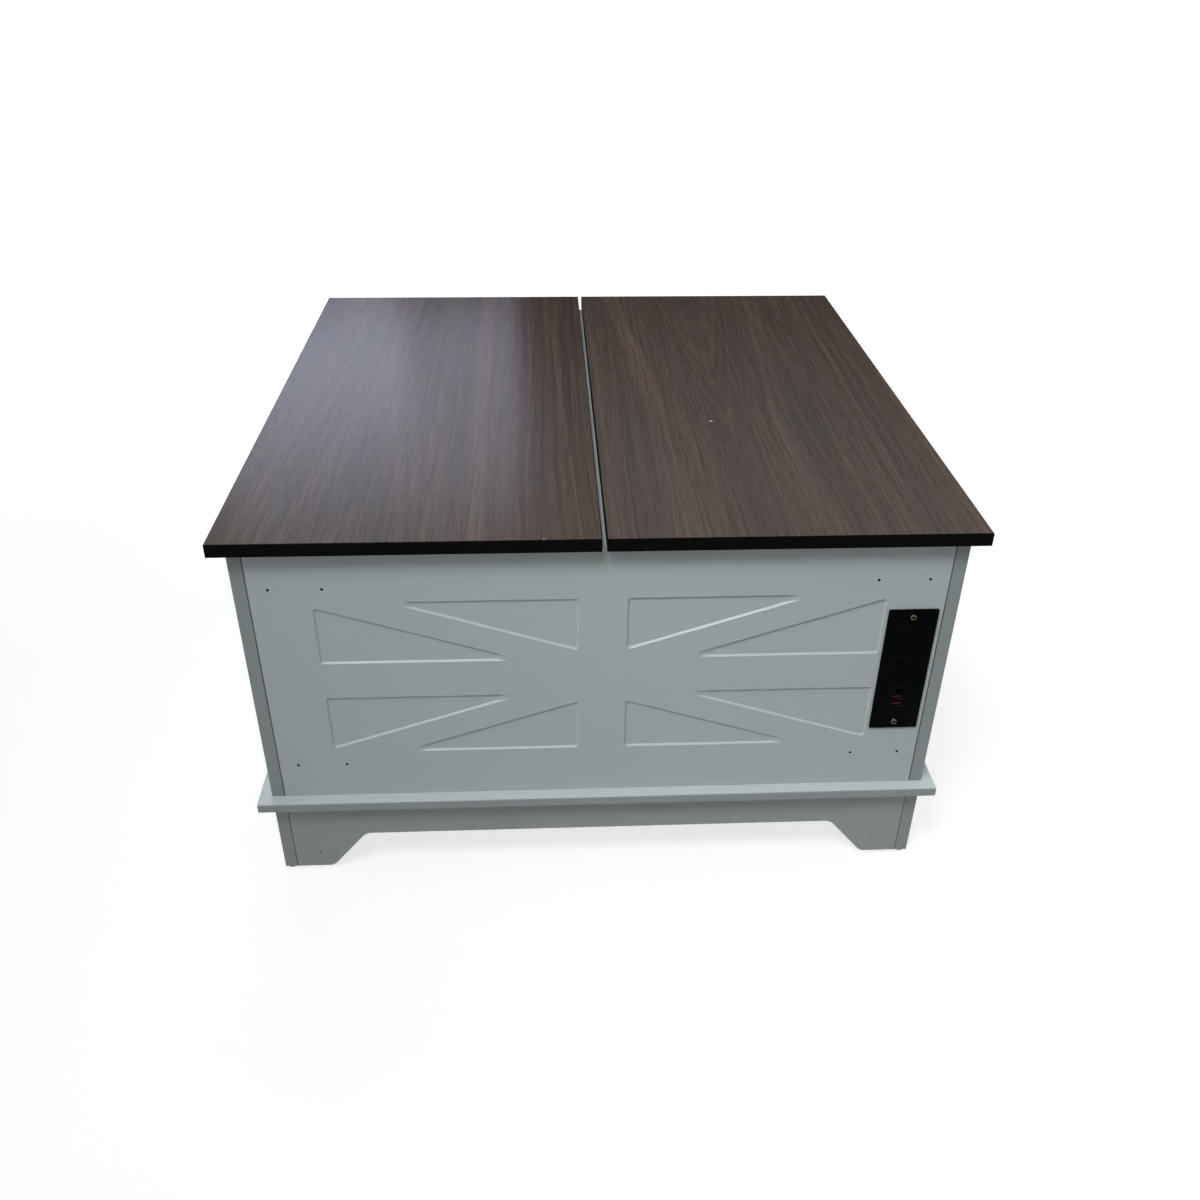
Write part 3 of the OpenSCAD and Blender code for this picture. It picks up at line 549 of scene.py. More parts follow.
@dataclass(frozen=True)
class WalnutPrint(Finish):
    """Dark walnut laminate: straight grain that runs in nested arches about one heart line."""

    heart_x: float = 170.0 * MM
    arch_y: float = -70.0 * MM
    flow: Flow = Flow.TO_BACK
    arch_slope: float = 0.20
    arch_reach: float = 85.0 * MM
    arch_round: float = 9.0 * MM
    arch_fade: float = 90.0 * MM
    skew: float = 0.13
    seed: float = 0.0
    drift_w: float = 26.0 * MM
    drift_stretch: Triple = (7.0, 1.6, 0.0)
    wiggle_w: float = 3.0 * MM
    wiggle_stretch: Triple = (70.0, 10.0, 0.0)
    broad_scale: float = 22.0
    band_scale: float = 95.0
    band_seed: float = 5.0
    band_share: float = 0.55
    line: Fibre = Fibre(across=330.0, along=3.2, detail=4.0, roughness=0.75)
    line_tone: float = 2.9
    hair: Fibre = Fibre(across=1100.0, along=24.0, detail=2.0, roughness=0.6)
    hair_tone: float = 1.4
    pore: Fibre = Fibre(across=1700.0, along=80.0, detail=1.0)
    pore_span: Span = (0.56, 0.68)
    pore_dark: float = 0.40
    pore_sink: float = 0.15
    least_tone: float = 0.40
    ring_colours: tuple[tuple[float, Colour], ...] = (
        (0.36, (0.0170, 0.0118, 0.0098)),
        (0.46, (0.0390, 0.0250, 0.0184)),
        (0.53, (0.0590, 0.0350, 0.0245)),
        (0.60, (0.0820, 0.0490, 0.0330)),
        (0.72, (0.0590, 0.0385, 0.0285)),
    )
    grey: Colour = (0.0400, 0.0310, 0.0285)
    grey_share: float = 0.45
    grey_span: Span = (0.44, 0.66)
    grey_stretch: Triple = (6.0, 2.0, 0.0)
    olive: Colour = (0.0600, 0.0430, 0.0240)
    olive_span: Span = (0.52, 0.62)
    plum: Colour = (0.0560, 0.0330, 0.0320)
    plum_span: Span = (0.48, 0.38)
    tint_scale: float = 38.0
    tint_seed: float = 9.0
    tint_drift: float = 0.05
    tint_share: float = 0.45
    dark_x: float = 400.0 * MM
    dark_fade: float = 40.0 * MM
    dark_share: float = 0.88
    heart: Colour = (0.0220, 0.0084, 0.0045)
    heart_line: Colour = (0.0720, 0.0340, 0.0195)
    heart_span: Span = (0.44, 0.60)
    heart_share: float = 0.5
    streaks: tuple[PaleStreak, ...] = ()
    streak_colour: Colour = (0.074, 0.041, 0.023)
    streak_run: float = 400.0 * MM
    streak_core: float = 0.3
    mark: tuple[float, float] = (146.0 * MM, -106.0 * MM)
    mark_size: tuple[float, float] = (2.6 * MM, 2.2 * MM)
    mark_colour: Colour = (0.36, 0.34, 0.31)
    mark_ragged: float = 1.6
    mark_core: float = 0.5
    mark_depths: Span = (1.5 * MM, 1.0 * MM)
    top_z: float = 465.0 * MM
    roughness: float = 0.19
    line_rough: float = 0.10
    pore_rough: float = 0.08
    gloss: float = 0.13
    stipple_scale: float = 1100.0
    stipple_depth: float = 0.02 * MM

    def rings(self, offset: Link, along: Link) -> Link:
        """Depth of a point among the growth rings.

        Args:
            offset: Distance across from the heart line.
            along: Place along Y.

        Returns:
            The depth, which is the same all along one line of the grain.
        """
        past = (along - self.arch_y) * self.flow.value
        opened = (past + (past * past + self.arch_fade ** 2).root()) * 0.5
        square = offset * offset
        lean = self.arch_slope * self.arch_reach ** 2 / (square + self.arch_reach ** 2)
        return (square + self.arch_round ** 2).root() - opened * lean + offset * self.skew

    def draw(self, sheet: Sheet) -> None:
        """Lay growth rings, streaks, pores and one pale mark.

        Args:
            sheet: The material's sheet.
        """
        across, along, height = sheet.axes()
        drift = sheet.noise(1.0, place=sheet.place(self.drift_stretch, (self.seed, 0.0, 0.0)))
        waves = sheet.noise(1.0, place=sheet.place(self.wiggle_stretch, (0.0, self.seed, 0.0)))
        wiggle = waves.swing(self.wiggle_w)
        offset = across - self.heart_x + drift.swing(self.drift_w) + wiggle
        rings = self.rings(offset, along)
        lines = self.line.read(sheet, offset, along, self.seed)
        hairs = self.hair.read(sheet, offset, along, self.seed)
        pores = self.pore.read(sheet, offset, along, self.seed).between(*self.pore_span)
        tone = 1.0 + lines.swing(self.line_tone) + hairs.swing(self.hair_tone) - pores * self.pore_dark
        wood = self._streaked(sheet, self._coloured(sheet, rings, across, along), across + wiggle, along)
        dark_wood = sheet.shade(wood, tone.larger(self.least_tone))
        mark_x = (across - self.mark[0]) / self.mark_size[0]
        mark_y = (along - self.mark[1]) / self.mark_size[1]
        ragged = mark_x * mark_x + mark_y * mark_y + hairs.swing(self.mark_ragged)
        bottom, top = (self.top_z - depth for depth in self.mark_depths)
        mark = ragged.between(1.0, self.mark_core) * height.between(bottom, top)
        sheet.set({
            "Base Color": sheet.blend(mark, dark_wood, self.mark_colour),
            "Roughness": self.roughness + lines.swing(self.line_rough) + pores * self.pore_rough,
            "Specular IOR Level": self.gloss,
        })
        stipple = sheet.noise(self.stipple_scale, detail=1.0)
        sheet.relief(stipple - pores * self.pore_sink, self.stipple_depth, strength=0.6)

    def _coloured(self, sheet: Sheet, rings: Link, across: Link, along: Link) -> bpy.types.NodeSocket:
        """Colour the rings, grey and tint them in patches, and darken the heartwood.

        Args:
            sheet: The material's sheet.
            rings: Depth among the growth rings.
            across: Place along X.
            along: Place along Y.

        Returns:
            The wood's colour before its lines and pores.
        """
        broad = sheet.noise(self.broad_scale, place=sheet.point(rings, self.seed, 0.0))
        bands = sheet.noise(self.band_scale, detail=4.0, roughness=0.66,
                            place=sheet.point(rings, self.seed + self.band_seed, 0.0))
        wood = sheet.ramp(bands * self.band_share + broad * (1.0 - self.band_share), self.ring_colours)
        patches = sheet.noise(1.0, detail=3.0, place=sheet.place(self.grey_stretch, (0.0, 0.0, self.seed)))
        wood = sheet.blend(patches.between(*self.grey_span) * self.grey_share, wood, self.grey)
        tint_place = sheet.point(rings, self.seed + self.tint_seed, along * self.tint_drift)
        tints = sheet.noise(self.tint_scale, place=tint_place)
        wood = sheet.blend(tints.between(*self.olive_span) * self.tint_share, wood, self.olive)
        wood = sheet.blend(tints.between(*self.plum_span) * self.tint_share, wood, self.plum)
        darker = across.between(self.dark_x, self.dark_x + self.dark_fade)
        heart_lines = bands.between(*self.heart_span) * self.heart_share
        heartwood = sheet.blend(heart_lines, self.heart, self.heart_line)
        return sheet.blend(darker * self.dark_share, wood, heartwood)

    def _streaked(self, sheet: Sheet, wood: bpy.types.NodeSocket, across: Link,
                  along: Link) -> bpy.types.NodeSocket:
        """Lay the pale streaks.

        Args:
            sheet: The material's sheet.
            wood: Colour of the wood.
            across: Place along X, with the wiggle of the grain.
            along: Place along Y.

        Returns:
            The colour with its streaks.
        """
        for streak in self.streaks:
            lean = (streak.middle_x - streak.front_x) / self.streak_run
            aside = across - along * lean - streak.middle_x
            line = abs(aside).between(streak.width, self.streak_core * streak.width)
            wood = sheet.blend(line * streak.strength, wood, self.streak_colour)
        return wood


@dataclass(frozen=True)
class EdgeBand(Finish):
    """Near-black edge band with fine drawn lines along it and paler handling marks."""

    colour: Colour = (0.0016, 0.0015, 0.0014)
    roughness: float = 0.40
    gloss: float = 0.03
    line_stretch: Triple = (12.0, 12.0, 2600.0)
    line_tone: float = 0.5
    line_rough: float = 0.12
    line_depth: float = 0.015 * MM
    mark_scale: float = 38.0
    mark_span: Span = (0.50, 0.75)
    mark_tone: float = 0.5
    mark_rough: float = 0.10

    def draw(self, sheet: Sheet) -> None:
        """Draw the extruded lines and the handling marks.

        Args:
            sheet: The material's sheet.
        """
        lines = sheet.noise(1.0, place=sheet.place(self.line_stretch))
        marks = sheet.noise(self.mark_scale, detail=4.0, roughness=0.6).between(*self.mark_span)
        tone = 1.0 + lines.swing(self.line_tone) + marks * self.mark_tone
        sheet.set({
            "Base Color": sheet.shade(self.colour, tone),
            "Roughness": self.roughness + lines.swing(self.line_rough) + marks * self.mark_rough,
            "Specular IOR Level": self.gloss,
        })
        sheet.relief(lines, self.line_depth, strength=0.4)


@dataclass(frozen=True)
class Beech(Finish):
    """Plain beech: pale, straight grain with short brown flecks."""

    along: Along = Along.X
    colour: Colour = (0.52, 0.33, 0.175)
    grain_across: float = 160.0
    grain_along: float = 6.0
    grain_tone: float = 0.45
    grain_rough: float = 0.2
    grain_depth: float = 0.06 * MM
    fleck_across: float = 900.0
    fleck_along: float = 130.0
    fleck_span: Span = (0.62, 0.72)
    fleck_colour: Colour = (0.22, 0.11, 0.05)
    fleck_share: float = 0.5
    roughness: float = 0.58

    def draw(self, sheet: Sheet) -> None:
        """Lay the grain along the chosen axis.

        Args:
            sheet: The material's sheet.
        """
        grain_place = sheet.place(self.along.stretch(self.grain_across, self.grain_along))
        fleck_place = sheet.place(self.along.stretch(self.fleck_across, self.fleck_along))
        grain = sheet.noise(1.0, detail=4.0, roughness=0.6, place=grain_place)
        flecks = sheet.noise(1.0, detail=1.0, place=fleck_place).between(*self.fleck_span)
        wood = sheet.shade(self.colour, 1.0 + grain.swing(self.grain_tone))
        sheet.set({
            "Base Color": sheet.blend(flecks * self.fleck_share, wood, self.fleck_colour),
            "Roughness": self.roughness + grain.swing(self.grain_rough),
        })
        sheet.relief(grain, self.grain_depth, strength=0.6)


@dataclass(frozen=True)
class BrushedMetal(Finish):
    """Bare or plated metal with a drawn or brushed grain and dull patches."""

    colour: Colour = (0.56, 0.57, 0.58)
    along: Along = Along.Z
    roughness: float = 0.30
    dull: float = 0.14
    brush_across: float = 1800.0
    brush_along: float = 40.0
    brush_tone: float = 0.22
    brush_rough: float = 0.16
    brush_depth: float = 0.01 * MM
    patch_scale: float = 90.0
    patch_span: Span = (0.42, 0.70)
    patch_dark: float = 0.10

    def draw(self, sheet: Sheet) -> None:
        """Brush the metal along its axis and dull it in patches.

        Args:
            sheet: The material's sheet.
        """
        brush_place = sheet.place(self.along.stretch(self.brush_across, self.brush_along))
        brushed = sheet.noise(1.0, place=brush_place)
        patches = sheet.noise(self.patch_scale, detail=3.0, roughness=0.6).between(*self.patch_span)
        tone = 1.0 + brushed.swing(self.brush_tone) - patches * self.patch_dark
        sheet.set({
            "Base Color": sheet.shade(self.colour, tone),
            "Metallic": 1.0,
            "Roughness": self.roughness + brushed.swing(self.brush_rough) + patches * self.dull,
        })
        sheet.relief(brushed, self.brush_depth, strength=0.35)


@dataclass(frozen=True)
class DishedBrass(Finish):
    """Brass plate on a screw head whose deep round recess is painted black as shade."""

    screw_x: float = 0.0
    heights: tuple[float, ...] = ()
    recess_r: float = 2.45 * MM
    recess_core: float = 0.85
    colour: Colour = (0.22, 0.195, 0.11)
    # Near-black painted shade in the round recesses of the heads
    grime: Colour = (0.004, 0.004, 0.004)
    roughness: float = 0.34
    gloss: float = 0.2
    brush_scale: float = 1600.0
    brush_tone: float = 0.5
    brush_rough: float = 0.2
    brush_depth: float = 0.01 * MM

    def draw(self, sheet: Sheet) -> None:
        """Brush the heads and paint the shade of their recesses black.

        Args:
            sheet: The material's sheet.
        """
        across, _, height = sheet.axes()
        brushed = sheet.noise(self.brush_scale, detail=3.0)
        metal = sheet.shade(self.colour, 1.0 + brushed.swing(self.brush_tone))
        metallic = 1.0
        for level in self.heights:
            distance = away(across - self.screw_x, height - level)
            inside = distance.between(self.recess_r, self.recess_core * self.recess_r)
            # Paint the recess black as shade and take its metal away
            metal = sheet.blend(inside, metal, self.grime)
            metallic = metallic - inside
        sheet.set({
            "Base Color": metal,
            "Metallic": metallic,
            "Roughness": self.roughness + brushed.swing(self.brush_rough),
            "Specular IOR Level": self.gloss,
        })
        sheet.relief(brushed, self.brush_depth, strength=0.3)


@dataclass(frozen=True)
class CastZinc(Finish):
    """Die-cast zinc: grey, slightly pitted, a little uneven in colour."""

    colour: Colour = (0.40, 0.39, 0.365)
    metallic: float = 0.9
    roughness: float = 0.42
    skin_scale: float = 420.0
    skin_tone: float = 0.3
    skin_rough: float = 0.2
    pit_scale: float = 2200.0
    pit_span: Span = (0.60, 0.74)
    pit_dark: float = 0.25
    pit_rough: float = 0.15
    pit_depth: float = 0.03 * MM

    def draw(self, sheet: Sheet) -> None:
        """Pit the casting and cloud its skin.

        Args:
            sheet: The material's sheet.
        """
        skin = sheet.noise(self.skin_scale, detail=3.0)
        pits = sheet.noise(self.pit_scale).between(*self.pit_span)
        sheet.set({
            "Base Color": sheet.shade(self.colour, 1.0 + skin.swing(self.skin_tone) - pits * self.pit_dark),
            "Metallic": self.metallic,
            "Roughness": self.roughness + skin.swing(self.skin_rough) + pits * self.pit_rough,
        })
        sheet.relief(1.0 - pits, self.pit_depth, strength=0.5)


@dataclass(frozen=True)
class PowderCoat(Finish):
    """Black powder coat: satin, with the fine orange peel that the powder leaves."""

    colour: Colour = (0.018, 0.019, 0.021)
    roughness: float = 0.42
    peel_scale: float = 900.0
    peel_rough: float = 0.12
    peel_depth: float = 0.04 * MM
    dust_scale: float = 60.0
    dust_span: Span = (0.48, 0.78)
    dust_colour: Colour = (0.16, 0.155, 0.15)
    dust_share: float = 0.12
    dust_rough: float = 0.10

    def draw(self, sheet: Sheet) -> None:
        """Draw the orange peel and faint dust.

        Args:
            sheet: The material's sheet.
        """
        peel = sheet.noise(self.peel_scale, detail=1.0)
        dust = sheet.noise(self.dust_scale, detail=4.0, roughness=0.65).between(*self.dust_span)
        sheet.set({
            "Base Color": sheet.blend(dust * self.dust_share, self.colour, self.dust_colour),
            "Roughness": self.roughness + peel.swing(self.peel_rough) + dust * self.dust_rough,
        })
        sheet.relief(peel, self.peel_depth, strength=0.5)


@dataclass(frozen=True)
class MouldedPlastic(Finish):
    """Moulded plastic with a fine spark-eroded texture and a trace of dust."""

    colour: Colour = (0.0006, 0.0009, 0.0012)
    roughness: float = 0.40
    gloss: float = 0.02
    spark_scale: float = 1300.0
    spark_rough: float = 0.14
    spark_depth: float = 0.03 * MM
    dust_scale: float = 55.0
    dust_span: Span = (0.46, 0.80)
    dust_colour: Colour = (0.30, 0.30, 0.30)
    dust_share: float = 0.002
    dust_rough: float = 0.08

    def draw(self, sheet: Sheet) -> None:
        """Texture the moulding and dust it.

        Args:
            sheet: The material's sheet.
        """
        sparks = sheet.noise(self.spark_scale, detail=3.0, roughness=0.6)
        dust = sheet.noise(self.dust_scale, detail=4.0, roughness=0.65).between(*self.dust_span)
        sheet.set({
            "Base Color": sheet.blend(dust * self.dust_share, self.colour, self.dust_colour),
            "Roughness": self.roughness + sparks.swing(self.spark_rough) + dust * self.dust_rough,
            "Specular IOR Level": self.gloss,
        })
        sheet.relief(sparks, self.spark_depth, strength=0.5)


@dataclass(frozen=True)
class ClearSoft(Finish):
    """Milky soft plastic of the bumpers, lightly scuffed."""

    colour: Colour = (0.78, 0.80, 0.81)
    clearness: float = 0.25
    bending: float = 1.46
    roughness: float = 0.30
    cloud_scale: float = 160.0
    cloud_tone: float = 0.12
    scuff_scale: float = 700.0
    scuff_span: Span = (0.52, 0.74)
    scuff_dark: float = 0.10
    scuff_rough: float = 0.25
    scuff_depth: float = 0.02 * MM

    def draw(self, sheet: Sheet) -> None:
        """Cloud the plastic and scuff its skin.

        Args:
            sheet: The material's sheet.
        """
        clouds = sheet.noise(self.cloud_scale, detail=3.0)
        scuffs = sheet.noise(self.scuff_scale, detail=3.0, roughness=0.6).between(*self.scuff_span)
        tone = 1.0 + clouds.swing(self.cloud_tone) - scuffs * self.scuff_dark
        sheet.set({
            "Base Color": sheet.shade(self.colour, tone),
            "Roughness": self.roughness + scuffs * self.scuff_rough,
            "Transmission Weight": self.clearness,
            "IOR": self.bending,
        })
        sheet.relief(scuffs, self.scuff_depth, strength=0.4)


# Bench


class Piece:
    """A new mesh on the bench. Its methods are the operators that shape it."""

    def __init__(self, name: str) -> None:
        """Take the active object as the piece of this name."""
        self.object = bpy.context.active_object
        self.rename(name)

    def rename(self, name: str) -> None:
        """Give the object and its mesh one name."""
        self.object.name = name
        self.object.data.name = name

    @staticmethod
    def clear_selection() -> None:
        """Deselect every object."""
        bpy.ops.object.select_all(action="DESELECT")

    @classmethod
    def circle(cls, name: str, start: Step, sides: int, fill: str) -> Self:
        """Start from a level circle about Z.

        Args:
            name: Name of the piece.
            start: Its radius and height.
            sides: Its sides.
            fill: Blender's name of the way that it is filled.

        Returns:
            The piece.
        """
        cls.clear_selection()
        radius, height = start
        bpy.ops.mesh.primitive_circle_add(vertices=sides, radius=radius, fill_type=fill,
                                          location=(0.0, 0.0, height))
        return cls(name)

    @classmethod
    def turned(cls, name: str, profile: Profile, sides: int = 32) -> Self:
        """Turn a solid piece about Z: a disc is extruded and resized from step to step.

        Args:
            name: Name of the piece.
            profile: Radius and height of each step, in order.
            sides: Sides of the disc.

        Returns:
            The piece.
        """
        start, *steps = profile
        piece = cls.circle(name, start, sides, "NGON")
        with piece.editing():
            piece.pick_faces(lambda face: True)
            piece.climb(start, steps)
        piece.settle()
        piece.face_out()
        return piece

    @classmethod
    def ring(cls, name: str, profile: Profile, sides: int = 32) -> Self:
        """Turn a ring about Z from a closed profile.

        Args:
            name: Name of the piece.
            profile: Radius and height of each corner of the ring's section, in order.
            sides: Sides of the ring.

        Returns:
            The piece.
        """
        start, *steps = profile
        piece = cls.circle(name, start, sides, "NOTHING")
        with piece.editing():
            bpy.ops.mesh.select_mode(type="VERT")
            bpy.ops.mesh.select_all(action="SELECT")
            piece.climb(start, [*steps, start])
            piece.weld()
        piece.settle()
        piece.face_out()
        return piece

    @classmethod
    def block(cls, name: str, low: Vector, high: Vector) -> Self:
        """Start from a block between two corners.

        Args:
            name: Name of the piece.
            low: Its lowest corner.
            high: Its highest corner.

        Returns:
            The piece.
        """
        cls.clear_selection()
        bpy.ops.mesh.primitive_cube_add(size=1.0, location=(low + high) / 2)
        piece = cls(name)
        piece.object.scale = high - low
        piece.settle()
        return piece

    @classmethod
    def from_node(cls, name: str, node: str) -> Self:
        """Start from a merged copy of a node's mesh.

        Args:
            name: Name of the piece.
            node: The frame's node to copy.

        Returns:
            The piece, its flat faces dissolved into whole ones.
        """
        cls.clear_selection()
        mesh = frame["nodes"][node].data.copy()
        copy = bpy.data.objects.new(name, mesh)
        bpy.context.scene.collection.objects.link(copy)
        bpy.context.view_layer.objects.active = copy
        piece = cls(name)
        mesh.materials.clear()
        with piece.editing():
            bpy.ops.mesh.customdata_custom_splitnormals_clear()
            piece.weld()
            bpy.ops.mesh.dissolve_limited(angle_limit=math.radians(FLAT_ANGLE))
        return piece

    @classmethod
    def joined(cls, name: str, parts: Sequence["Piece"]) -> "Piece":
        """Join several pieces into one.

        Args:
            name: Name of the whole.
            parts: The pieces, of which the first takes in the others.

        Returns:
            The whole.
        """
        first, *others = parts
        first.take()
        for other in others:
            other.object.select_set(True)
        bpy.ops.object.join()
        first.rename(name)
        return first

    @contextlib.contextmanager
    def editing(self) -> Iterator[None]:
        """Hold the piece in edit mode, with nothing selected at first.

        Yields:
            Nothing. The piece leaves edit mode when the block ends.
        """
        self.take()
        bpy.ops.object.mode_set(mode="EDIT")
        bpy.ops.mesh.select_mode(type="FACE")
        bpy.ops.mesh.select_all(action="DESELECT")
        yield
        bpy.ops.object.mode_set(mode="OBJECT")

    def take(self) -> None:
        """Make this the only selected object and the active one."""
        self.clear_selection()
        self.object.select_set(True)
        bpy.context.view_layer.objects.active = self.object

    def pick_faces(self, test: Callable[[bmesh.types.BMFace], bool]) -> None:
        """In edit mode, select the faces that pass a test, and no others.

        Args:
            test: True for a face that is wanted.
        """
        bpy.ops.mesh.select_all(action="DESELECT")
        shape = bmesh.from_edit_mesh(self.object.data)
        for face in shape.faces:
            if test(face):
                face.select_set(True)
        bmesh.update_edit_mesh(self.object.data)

    def pull(self, offset: Vector) -> None:
        """In edit mode, extrude what is selected."""
        bpy.ops.mesh.extrude_region_move(TRANSFORM_OT_translate={"value": offset})

    def resize(self, shares: Vector, centre: Vector) -> None:
        """In edit mode, resize what is selected about a point."""
        bpy.ops.transform.resize(value=shares, center_override=centre)

    def climb(self, start: Step, steps: Profile) -> None:
        """In edit mode, extrude and resize what is selected from step to step of a profile.

        Args:
            start: Radius and height of what is selected.
            steps: Radius and height of each step, in order.
        """
        radius, height = start
        for next_radius, next_height in steps:
            share = next_radius / radius
            self.pull(Vector((0.0, 0.0, next_height - height)))
            self.resize(Vector((share, share, 1.0)), Vector())
            radius, height = next_radius, next_height

    def weld(self) -> None:
        """In edit mode, merge the points that lie on each other. Everything is selected after it."""
        bpy.ops.mesh.select_all(action="SELECT")
        bpy.ops.mesh.remove_doubles(threshold=MERGE_GAP)

    def settle(self) -> None:
        """Put the object's place, turn and size into its mesh."""
        self.take()
        bpy.ops.object.transform_apply(location=True, rotation=True, scale=True)

    def stand(self, spot: Vector, aim: Vector) -> None:
        """Move the piece from the origin to a spot and turn its Z to an aim.

        Args:
            spot: Where its origin goes.
            aim: Where its Z points.
        """
        turn = aim.to_track_quat("Z", "Y").to_matrix().to_4x4()
        self.object.matrix_world = Matrix.Translation(spot) @ turn
        self.settle()

    def face_out(self) -> None:
        """Turn every face outwards."""
        with self.editing():
            bpy.ops.mesh.select_all(action="SELECT")
            bpy.ops.mesh.normals_make_consistent(inside=False)

    def apply(self, kind: str, settings: dict[str, object]) -> None:
        """Add a modifier and apply it.

        Args:
            kind: Blender's name of the modifier type.
            settings: Its properties.
        """
        self.take()
        modifier = self.object.modifiers.new(kind.title(), kind)
        for key, value in settings.items():
            setattr(modifier, key, value)
        bpy.ops.object.modifier_apply(modifier=modifier.name)

    def soften(self, width: float, segments: int = 2, angle: float = 40.0) -> None:
        """Round the sharp edges and smooth the shading.

        Args:
            width: Width of the bevel.
            segments: Steps of the bevel.
            angle: Least angle between faces that counts as sharp, in degrees.
        """
        self.apply("BEVEL", {"width": width, "segments": segments, "limit_method": "ANGLE",
                             "angle_limit": math.radians(angle)})
        self.smooth(angle)

    def smooth(self, angle: float = 40.0) -> None:
        """Smooth the shading between faces that meet at less than an angle in degrees."""
        self.take()
        bpy.ops.object.shade_smooth_by_angle(angle=math.radians(angle))

    def cut(self, tool: Self) -> None:
        """Cut another piece out of this one and scrap it."""
        self.apply("BOOLEAN", {"operation": "DIFFERENCE", "object": tool.object, "solver": "EXACT"})
        bpy.data.objects.remove(tool.object)

    def copy(self, name: str, matrix: Matrix) -> "Piece":
        """Copy the piece, with a mesh of its own, and move the copy.

        Args:
            name: Name of the copy.
            matrix: Where the copy goes.

        Returns:
            The copy.
        """
        self.take()
        bpy.ops.object.duplicate(linked=False)
        twin = Piece(name)
        twin.object.matrix_world = matrix
        twin.settle()
        return twin

    def scrap(self) -> None:
        """Remove the piece from the scene."""
        bpy.data.objects.remove(self.object)

    def finish(self, material: bpy.types.Material, body: str, slot: Slot) -> None:
        """Dress the piece, hang it on its body and report it.

        Args:
            material: Its material.
            body: The body that it moves with.
            slot: Not used.
        """
        self.object.data.materials.clear()
        self.object.data.materials.append(material)
        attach(self.object, body)
        LOG.info("piece %s on %s, %d faces", self.object.name, body, len(self.object.data.polygons))


def facing(direction: Sequence[float], least: float = 0.9) -> Callable[[bmesh.types.BMFace], bool]:
    """A test for faces whose normal has at least a certain cosine to a unit vector."""
    aim = Vector(direction)
    return lambda face: face.normal.dot(aim) > least


# Finishes of the frame's nodes


LEFT_STREAKS = (
    PaleStreak(front_x=-23.0 * MM, middle_x=-39.0 * MM, width=2.6 * MM, strength=0.55),
    PaleStreak(front_x=-4.0 * MM, middle_x=-19.0 * MM, width=2.2 * MM, strength=0.35),
    PaleStreak(front_x=-80.0 * MM, middle_x=-79.0 * MM, width=4.0 * MM, strength=0.25),
)


class Palette:
    """Every material of the table, made once."""

    def __init__(self) -> None:
        """Make the materials."""
        holes = PilotHoles.from_frame()
        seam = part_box("right_panel")[0].x
        # The skirts' film is greyer: partly its own tone, partly painted shade under the plinth
        skirt_grey_and_shade = (0.362, 0.399, 0.402)
        self.front = FilmedBoard("white_film_front", seam_x=seam, bores=holes.panel).make()
        self.face = FilmedBoard("white_film_face", seam_x=seam).make()
        self.side = FilmedBoard("white_film_side", seam_x=seam, edge_axes=(Along.Y,)).make()
        self.skirt = FilmedBoard("white_film_skirt", colour=skirt_grey_and_shade, seam_x=seam, seam_tone=0.50,
                                 bores=holes.skirt, bore_r=1.3 * MM).make()
        self.side_skirt = FilmedBoard("white_film_side_skirt", colour=skirt_grey_and_shade, seam_x=seam, seam_tone=0.50,
                                      edge_axes=(Along.Y,), edge_tone=0.86).make()
        # The plinth's film is lighter than the case's: painted light on its lit top
        self.plinth = FilmedBoard("white_film_plinth", colour=(0.56, 0.63, 0.650),
                                  edge_axes=(Along.X, Along.Y), edge_tone=0.58,
                                  edge_from=399.3 * MM).make()
        self.board = FilmedBoard("white_film").make()
        self.left_top = WalnutPrint("walnut_left", heart_x=-262.0 * MM, arch_y=-30.0 * MM,
                                    flow=Flow.TO_FRONT, seed=3.7, mark=(-61.5 * MM, -397.5 * MM),
                                    mark_size=(1.6 * MM, 1.0 * MM), dark_x=-118.0 * MM,
                                    streaks=LEFT_STREAKS).make()
        self.right_top = WalnutPrint("walnut_right").make()
        self.band = EdgeBand("edge_band").make()
        self.beech = Beech("beech").make()
        self.steel = BrushedMetal("plated_steel", along=Along.Y).make()
        self.rod = BrushedMetal("ground_rod", colour=(0.62, 0.63, 0.64), roughness=0.16, dull=0.06).make()
        self.zinc = CastZinc("cast_zinc").make()
        self.brass = BrushedMetal("brass_plate", colour=(0.50, 0.39, 0.17), roughness=0.34).make()
        self.gold = BrushedMetal("gilt_contact", colour=(0.72, 0.52, 0.20), roughness=0.28).make()
        low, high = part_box("outlet_screws")
        head_r = (high.x - low.x) / 2
        self.dished = DishedBrass("dished_brass", screw_x=(low.x + high.x) / 2,
                                  heights=(low.z + head_r, high.z - head_r)).make()
        self.coat = PowderCoat("powder_coat").make()
        self.plastic = MouldedPlastic("black_plastic_skin").make()
        self.socket = MouldedPlastic("socket_plastic", colour=(0.0009, 0.0010, 0.0012),
                                     roughness=0.50).make()
        self.shell = BrushedMetal("blackened_shell", colour=(0.010, 0.010, 0.011), roughness=0.45).make()
        self.rubber = MouldedPlastic("black_rubber", colour=(0.012, 0.012, 0.012), roughness=0.62,
                                     dust_share=0.08, gloss=0.3).make()
        self.red = MouldedPlastic("red_tongue", colour=(0.80, 0.050, 0.035), roughness=0.36,
                                  dust_share=0.02, gloss=0.3).make()
        self.glide = MouldedPlastic("grey_glide", colour=(0.150, 0.165, 0.168), roughness=0.38,
                                    dust_share=0.10, gloss=0.4).make()
        self.clear = ClearSoft("milky_soft").make()


